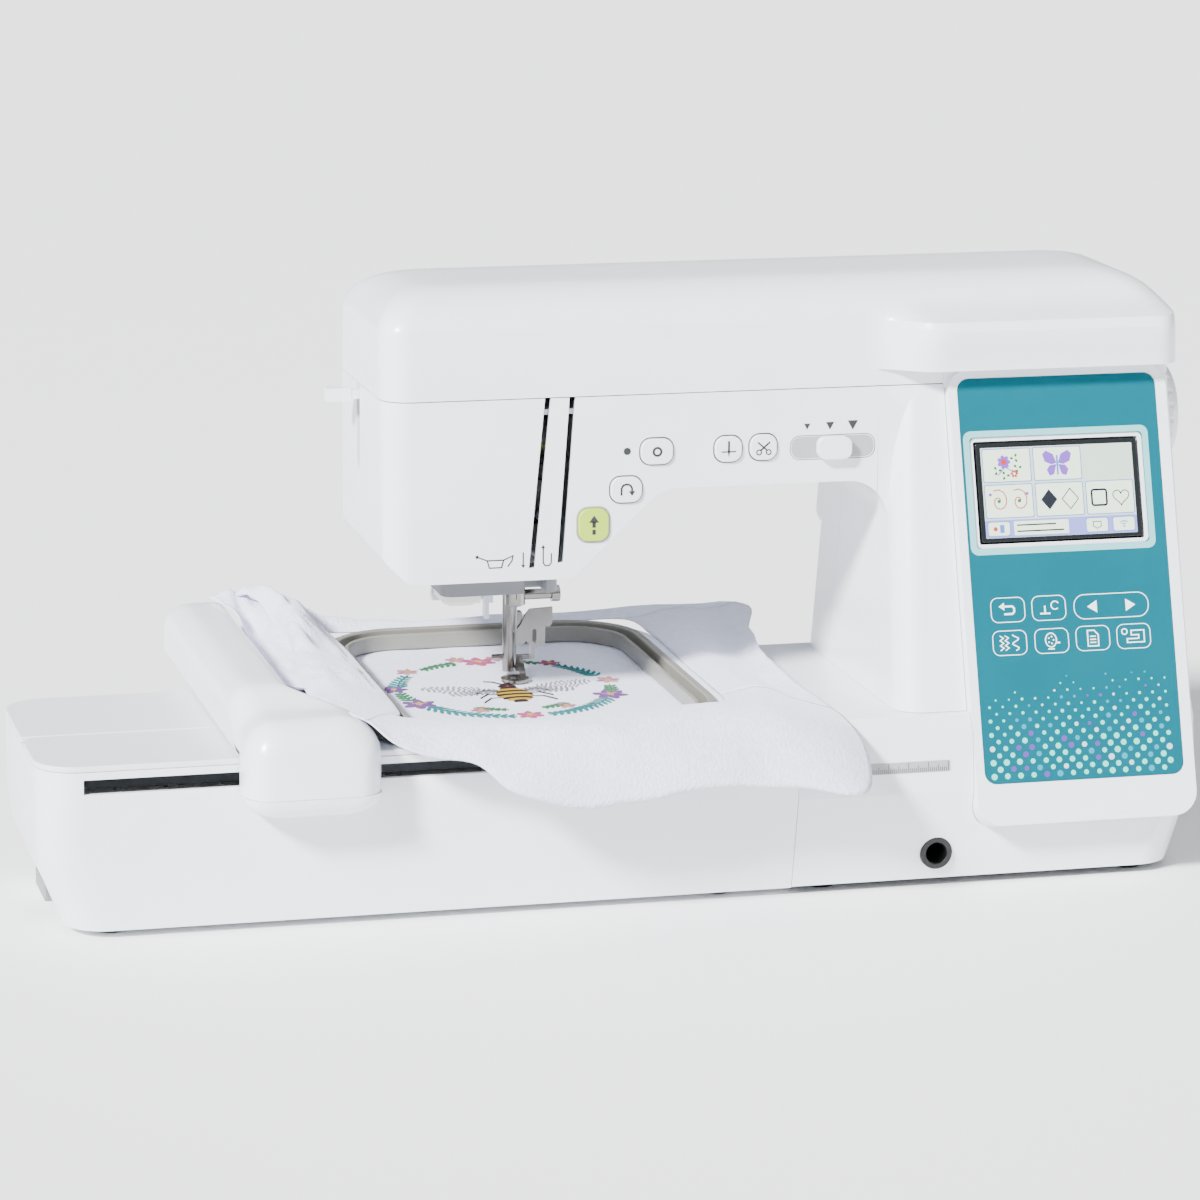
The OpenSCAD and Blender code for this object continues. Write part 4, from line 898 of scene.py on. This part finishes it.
for first, last, size, tone in (
    (212, 262, 6.5, "teal"), (328, 280, 6.5, "teal"), (168, 142, 6, "teal"), (16, 48, 6, "teal"),
    (104, 128, 5, "green"), (76, 56, 5, "green"), (196, 178, 5, "green"), (340, 356, 5, "green"),
):
    fern(first, last, size, tone)
fern(235, 258, 4, "green", -13)
fern(305, 283, 4, "green", -13)
for turn, size, tone, tone2, grow in (
    (90, 8.5, "pink", "rose", 0), (100, 5.5, "rose", "pink", 7), (80, 5.5, "rose", "pink", 6),
    (135, 5.5, "rose", "pink", 4), (172, 6.5, "purple", "blue", 2), (204, 8.5, "purple", "rose", 0),
    (240, 5, "rose", "pink", -10), (270, 6.5, "pink", "rose", -2), (300, 5, "rose", "pink", -10),
    (336, 8.5, "purple", "rose", 0), (6, 6, "rose", "pink", 2), (52, 5.5, "pink", "purple", 3),
):
    flower(turn, size, tone, tone2, grow)
for tone, stitches in work.items():
    stitches.make("embroidery_" + tone, "thread_" + tone)

# ---------- cloth ----------
HX, HY, HW, HL, HR = -2.5, -17.0, 70.0, 95.0, 28.0
ROUND = 220


def hoop_loop(grow):
    """Evenly spaced points round the hoop's outline, larger by grow."""
    pts = []
    seg = rounded(HX, HY, 2 * (HW + grow), 2 * (HL + grow), HR + grow, 12)
    total = [0.0]
    for i in range(len(seg)):
        a, b = seg[i], seg[(i + 1) % len(seg)]
        total.append(total[-1] + hypot(b[0] - a[0], b[1] - a[1]))
    for k in range(ROUND):
        d = total[-1] * k / ROUND
        i = max(j for j in range(len(seg)) if total[j] <= d)
        a, b = seg[i], seg[(i + 1) % len(seg)]
        t = (d - total[i]) / max(1e-9, total[i + 1] - total[i])
        pts.append((a[0] + (b[0] - a[0]) * t, a[1] + (b[1] - a[1]) * t))
    return pts


def cloth_piece(name, verts, faces):
    """A cloth without thickness, and its area in square metres."""
    mesh = bpy.data.meshes.new(name)
    mesh.from_pydata(verts, [], faces)
    for p in mesh.polygons:
        p.use_smooth = True
    return link(name, mesh), sum(p.area for p in mesh.polygons)


def thicken(obj, thick):
    mod = obj.modifiers.new("thick", "SOLIDIFY")
    mod.thickness = thick * MM
    mod.offset = 0
    deps = bpy.context.evaluated_depsgraph_get()
    mesh = bpy.data.meshes.new_from_object(obj.evaluated_get(deps))
    obj.modifiers.clear()
    obj.data = mesh
    for p in mesh.polygons:
        p.use_smooth = True


# the flat cloth inside the hoop, then up its inner wall and out over the frame
rings = []
for f in [0.02, 0.12, 0.25, 0.4, 0.55, 0.7, 0.8, 0.88, 0.94, 0.98, 1.0]:
    rings.append([(HX + (x - HX) * f, HY + (y - HY) * f, 87.3) for x, y in hoop_loop(9.7)])
for grow, z in ((10.25, 87.9), (10.3, 90.5), (10.35, 93.4), (11.2, 94.1), (14, 94.25), (17, 94.2)):
    rings.append([(x, y, z) for x, y in hoop_loop(grow)])
verts = []
for r, ring in enumerate(rings):
    for i, (x, y, z) in enumerate(ring):
        dz = 0
        if r < 9:
            d = min(HW + 10 - abs(x - HX), HL + 10 - abs(y - HY))
            dz = 0.12 * noise.noise(Vector((x * 0.05, y * 0.05, 1)))
            dz += 0.25 * exp(-d / 14) * sin(i * 0.55)
        verts.append(at(x, y, z + dz))
faces = []
for r in range(len(rings) - 1):
    for i in range(ROUND):
        j = (i + 1) % ROUND
        faces.append([r * ROUND + i, (r + 1) * ROUND + i, (r + 1) * ROUND + j, r * ROUND + j])
faces.append(list(range(ROUND)))
inner, inner_area = cloth_piece("cloth_in_hoop", verts, faces)
thicken(inner, 0.5)
put(inner, "cloth", "hoop")
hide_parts("hooped_fabric")

# loose cloth round the hoop: each row runs outwards from the hoop, and the rows go clockwise round it
RIGHT = [
    [(80, 95, 94.4), (90, 97, 95), (100, 100, 96.5), (112, 102, 97),
     (124, 104, 96), (134, 105, 96.5), (142, 105.5, 98)],
    [(84.5, 60, 94.4), (94, 60, 96), (104, 60, 96.5), (114, 59, 94),
     (122, 58, 92), (129, 57, 93.5), (136, 56, 96)],
    [(84.5, 10, 94.4), (93, 10, 95.8), (101, 10, 95), (109, 9, 92.8),
     (116, 8, 92), (122, 7, 93.5), (128, 5, 96)],
    [(84.5, -40, 94.4), (92, -41, 96), (99, -42, 97.2), (106, -44, 95.8),
     (112, -46, 93.5), (118, -48, 93.8), (125, -50, 95)],
    [(84.5, -75, 94.4), (92, -77, 96.5), (100, -79, 98.4), (108, -82, 97.4),
     (115, -85, 94), (124, -88, 91.5), (135, -91, 89)],
    [(77, -104, 98.3), (86, -106, 99), (95, -109, 98.4), (106, -113, 96.5),
     (118, -117, 93), (130, -120, 87), (141, -122, 80)],
]
FRONT = [
    [(70, -103, 97.9), (78, -110, 99.2), (87, -118, 99), (98, -127, 95.5),
     (110, -136, 87), (122, -144, 75), (134, -149.5, 62)],
    [(52, -104.5, 97.6), (54, -112, 99.3), (57, -121, 99.4), (62, -130, 97),
     (70, -138, 89), (80, -145, 78), (92, -148, 68)],
    [(24, -108, 97.4), (25, -113, 99.3), (27, -121, 99.6), (30, -130, 98.4),
     (34, -140, 92.5), (40, -148, 81), (46, -150.5, 68)],
    [(-2, -114, 97.6), (-2, -117, 99.2), (-1, -123, 99.8), (-1, -131, 99.6),
     (0, -139, 97), (3, -147, 80), (5, -148.5, 62.7)],
    [(-27, -118, 97.7), (-28, -120.5, 99), (-29, -125, 99.8), (-30, -132, 98.8),
     (-31, -140, 92), (-32, -147, 81), (-32, -149, 70.6)],
    [(-50, -112, 97.6), (-51, -116, 99.2), (-52, -121, 99.8), (-53, -128, 99),
     (-54, -135, 95.5), (-54.5, -140, 90.5), (-54, -143, 85)],
    [(-66, -106, 97.4), (-69, -111, 99.4), (-73, -117, 100.2), (-77, -123, 99.6),
     (-80, -128.5, 97.6), (-83, -134, 95), (-84, -138, 92.5)],
]
LEFT = [
    [(-79, -99, 97), (-82, -101, 99.3), (-86, -105, 101), (-90, -110, 102),
     (-94, -115, 102.6), (-97, -119, 102.6), (-99, -122, 103.4)],
    [(-76, -86, 96.8), (-80, -85, 98.8), (-84, -84, 100), (-92, -86, 101.5),
     (-100, -89, 102.6), (-106, -92, 103), (-109, -94, 102.4)],
    [(-75, -52, 96.8), (-80, -51, 98.8), (-84, -50, 100), (-93, -52, 102),
     (-103, -56, 102.8), (-110, -60, 101.5), (-113, -63, 98.5)],
    [(-75, -18, 96.8), (-80, -17, 99.2), (-84, -16, 102), (-93, -17, 103.8),
     (-103, -20, 104.6), (-109, -23, 103), (-111.5, -26, 99.4)],
    [(-75, 14, 96.8), (-80, 14, 99), (-84, 14, 100.6), (-92, 14, 103),
     (-99, 13, 105.4), (-105, 10, 104.8), (-108, 6, 99.5)],
    [(-75, 42, 96.8), (-80, 42, 99.3), (-84.5, 43, 102), (-91, 44, 106),
     (-98, 44, 110.5), (-103.5, 42, 108.5), (-104, 38, 101)],
    [(-76, 64, 96.8), (-80, 65, 99.8), (-85, 66, 103.5), (-91, 67, 109),
     (-98, 69, 115), (-104.5, 68, 111), (-106, 64, 102)],
    [(-77, 84, 96.8), (-81, 85, 101), (-86, 86, 106), (-92, 88, 111.5),
     (-99, 91, 114), (-106, 90, 118.5), (-112, 88, 112)],
    [(-80, 94, 96), (-84, 96, 101), (-89, 99, 107.5), (-95, 101, 112),
     (-104, 103, 111.5), (-112, 102, 117), (-121, 100, 116.5)],
]
BACK = [
    [(-72, 95.5, 94.5), (-76, 98, 96.5), (-80, 100, 99), (-84, 102, 102),
     (-88, 104, 104), (-92, 105, 105.5), (-97, 105.5, 107)],
    [(-52, 95.5, 94.4), (-52, 97, 95), (-53, 99, 96), (-53, 101, 97),
     (-54, 103, 97.6), (-54, 104.5, 97.8), (-55, 105.5, 97.6)],
    [(0, 95.5, 94.4), (0, 97, 95), (0, 99, 96.2), (0, 101, 97),
     (0, 103, 97), (0, 104.5, 96.6), (0, 105.5, 96)],
    [(45, 95.5, 94.4), (46, 97, 95), (47, 99, 96), (48, 101, 96.6),
     (49, 103, 97), (50, 104.5, 97), (50, 105.5, 97)],
]
# the layer that lies between the fold and the carriage's arm, from front to back
UNDER = [
    [(-106, -46, 101), (-105, -46, 100.6), (-104, -46, 100.4), (-103, -46, 100.6), (-101, -46, 101.4)],
    [(-124, -30, 100.5), (-121, -30, 98.8), (-115, -30, 98.5), (-109, -30, 98.8), (-100, -30, 102)],
    [(-124, 0, 100.5), (-121, 0, 98.8), (-115, 0, 98.5), (-109, 0, 98.8), (-100, 0, 102)],
    [(-124, 30, 102), (-121, 30, 97.5), (-115, 30, 95.5), (-109, 30, 97), (-100, 30, 102)],
    [(-124, 60, 105), (-121, 60, 101), (-115, 60, 98), (-109, 60, 100), (-101, 60, 105)],
    [(-125, 82, 111), (-121, 82, 106), (-116, 82, 103), (-110, 82, 105), (-102, 82, 110)],
    [(-135, 100, 114.4), (-126, 102, 118), (-119, 101, 115), (-112, 99, 111), (-105, 98, 109)],
]
ACROSS, ALONG = 4, 8
FOLD_X = -80  # creases start left of this


def curve(points, f):
    """Catmull-Rom through a list of vectors at position f, counted in points."""
    n = len(points) - 1
    i = min(int(f), n - 1)
    t = f - i
    p = [points[max(0, min(n, i + k))] for k in (-1, 0, 1, 2)]
    return 0.5 * ((2 * p[1]) + (p[2] - p[0]) * t + (2 * p[0] - 5 * p[1] + 4 * p[2] - p[3]) * t * t
                  + (3 * p[1] - p[0] - 3 * p[2] + p[3]) * t ** 3)


def lofted(rows, first, last):
    """Grid of points over the rows from first to last; the rows beyond them steer the ends."""
    rows = [[Vector(p) for p in row] for row in rows]
    count = (len(rows[0]) - 1) * ACROSS
    fine = [[curve(row, k / ACROSS) for k in range(count + 1)] for row in rows]
    grid = []
    for i in range((last - first) * ALONG + 1):
        f = first + i / ALONG
        line = []
        for k in range(count + 1):
            q = curve([row[k] for row in fine], f)
            s = k / count
            ripple = 0.7 * noise.noise(Vector((q.x * 0.09, q.y * 0.09, 2.0)))
            q.z += s * (ripple + 1.8 * noise.noise(q * 0.045))
            if q.x < FOLD_X:
                slanted = Vector((q.x * 0.11 + q.y * 0.03, q.y * 0.028 - q.x * 0.02, 7.0))
                crease = 1 - abs(2.4 * noise.noise(slanted))
                height = 4.2 * min(1.0, 1.6 * s)
                q.z += height * min(1.0, max(0.0, (q.y + 90) / 50)) * max(-0.2, crease - 0.35)
            line.append(q)
        grid.append(line)
    return grid


def sheet_mesh(name, grids):
    verts, faces = [], []
    for grid in grids:
        k, w = len(verts), len(grid[0])
        verts += [at(*q) for line in grid for q in line]
        for a in range(len(grid) - 1):
            for b in range(w - 1):
                faces.append([k + a * w + b, k + a * w + b + 1, k + (a + 1) * w + b + 1, k + (a + 1) * w + b])
    return cloth_piece(name, verts, faces)


# the closed ring of rows, and the rows at which one piece of the loose cloth ends and the next begins
RING = [BACK[-1]] + RIGHT + FRONT + LEFT + BACK + RIGHT[:2]
front_row = len(RIGHT) - 1
left_row = 1 + len(RIGHT) + len(FRONT)
back_row = left_row + len(LEFT) - 1
end_row = left_row + len(LEFT) + len(BACK)
LOOSE = [
    ("cloth_right", 1, front_row, (0.055, 0.185), "fabric_flaps",
     ("carriage_x", (1, 0, 0), at(86, 0, 95), 0.15)),
    ("cloth_front", front_row, left_row, (0.065, 0.26), "fabric_flaps",
     ("hoop_y", (0, 0, 1), at(0, -140, 99), 0.2)),
    ("cloth_left", left_row, back_row, (0.07, 0.21), "fabric_fold",
     ("hoop_y", (1, 0, 0), at(-76, 0, 100), 0.2)),
    ("cloth_back", back_row, end_row, (0.018, 0.17), "fabric_flaps", None),
]
for name, first, last, flat, node, flatten in LOOSE:
    grids = [lofted(RING, first, last)]
    if name == "cloth_left":
        grids.append(lofted(UNDER, 0, len(UNDER) - 1))
    obj, area = sheet_mesh(name, grids)
    thicken(obj, 0.9)
    put(obj, "cloth", "hoop")
    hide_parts(node)
    if flatten:
        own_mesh(obj)


# ---------- thread ----------
THREAD = [(-0.5, -6.5, 136), (-0.6, -6.3, 134), (-0.5, -1.2, 120), (0, -0.8, 101), (0, -0.7, 99.6)]
route = bpy.data.curves.new("needle_thread", "CURVE")
route.dimensions = "3D"
route.bevel_depth = 0.2 * MM
route.bevel_resolution = 3
line = route.splines.new("POLY")
line.points.add(len(THREAD) - 1)
for p, q in zip(line.points, THREAD):
    p.co = (*at(*q), 1)
routed = link("needle_thread", route)
thread_mesh = bpy.data.meshes.new_from_object(routed.evaluated_get(bpy.context.evaluated_depsgraph_get()))
bpy.data.objects.remove(routed)
put(link("needle_thread", thread_mesh), "thread_green", "needle_bar")

# ---------- stage, camera and light ----------
floor_mesh = bpy.data.meshes.new("floor")
floor_mesh.from_pydata([(-6, -6, 0), (6, -6, 0), (6, 6, 0), (-6, 6, 0)], [], [[0, 1, 2, 3]])
floor = link("floor", floor_mesh)
fm, fnodes, flinks, fb = new_material("pale_floor")
tex, ramp = tinted(fnodes, flinks, (0.95, 0.955, 0.96), 0.004, 3)
flinks.new(ramp.outputs["Color"], fb.inputs["Base Color"])
set_inputs(fb, Roughness=0.65)
floor_mesh.materials.append(fm)

world = bpy.data.worlds.new("studio")
bpy.context.scene.world = world
world.use_nodes = True
wn, wl = world.node_tree.nodes, world.node_tree.links
wcoord, wdot = wn.new("ShaderNodeTexCoord"), wn.new("ShaderNodeVectorMath")
wramp = set_inputs(wn.new("ShaderNodeMapRange"), From_Min=-0.5, From_Max=0.8, To_Min=0.22, To_Max=0.9)
wdot.operation = "DOT_PRODUCT"
wdot.inputs[1].default_value = (-0.55, -0.35, 0.75)
wl.new(wcoord.outputs["Generated"], wdot.inputs[0])
wl.new(wdot.outputs["Value"], wramp.inputs["Value"])
background = set_inputs(wn["Background"], Color=(0.94, 0.965, 1.0, 1))
wl.new(wramp.outputs["Result"], background.inputs["Strength"])


def aim(obj, direction):
    obj.rotation_euler = Vector(direction).to_track_quat("-Z", "Y").to_euler()


key = bpy.data.lights.new("key", "SUN")
key.energy = 12.5
key.angle = radians(9)
aim(link("key", key), (0.66, 0.5, -0.6))
fill = bpy.data.lights.new("fill", "AREA")
fill.shape = "RECTANGLE"
fill.size, fill.size_y = 1.4, 1.2
fill.energy = 10
fill.color = (0.95, 0.97, 1.0)
fill_obj = link("fill", fill)
fill_obj.location = (1.8, -1.4, 1.1)
aim(fill_obj, Vector((0, 0, 0.12)) - Vector((1.8, -1.4, 1.1)))

# the photo's camera, fitted to the ruler marks and the casings' edges
camera = bpy.data.cameras.new("camera")
camera.sensor_width = 36
camera.lens = 139.77
cam = link("camera", camera)
cam.matrix_world = (
    Matrix.Translation(at(-511.5, -2168.7, 626.8))
    @ Matrix.Rotation(radians(-14.34), 4, "Z")
    @ Matrix.Rotation(radians(90 - 12.59), 4, "X")
    @ Matrix.Rotation(radians(0.44), 4, "Z")
)
bpy.context.scene.camera = cam
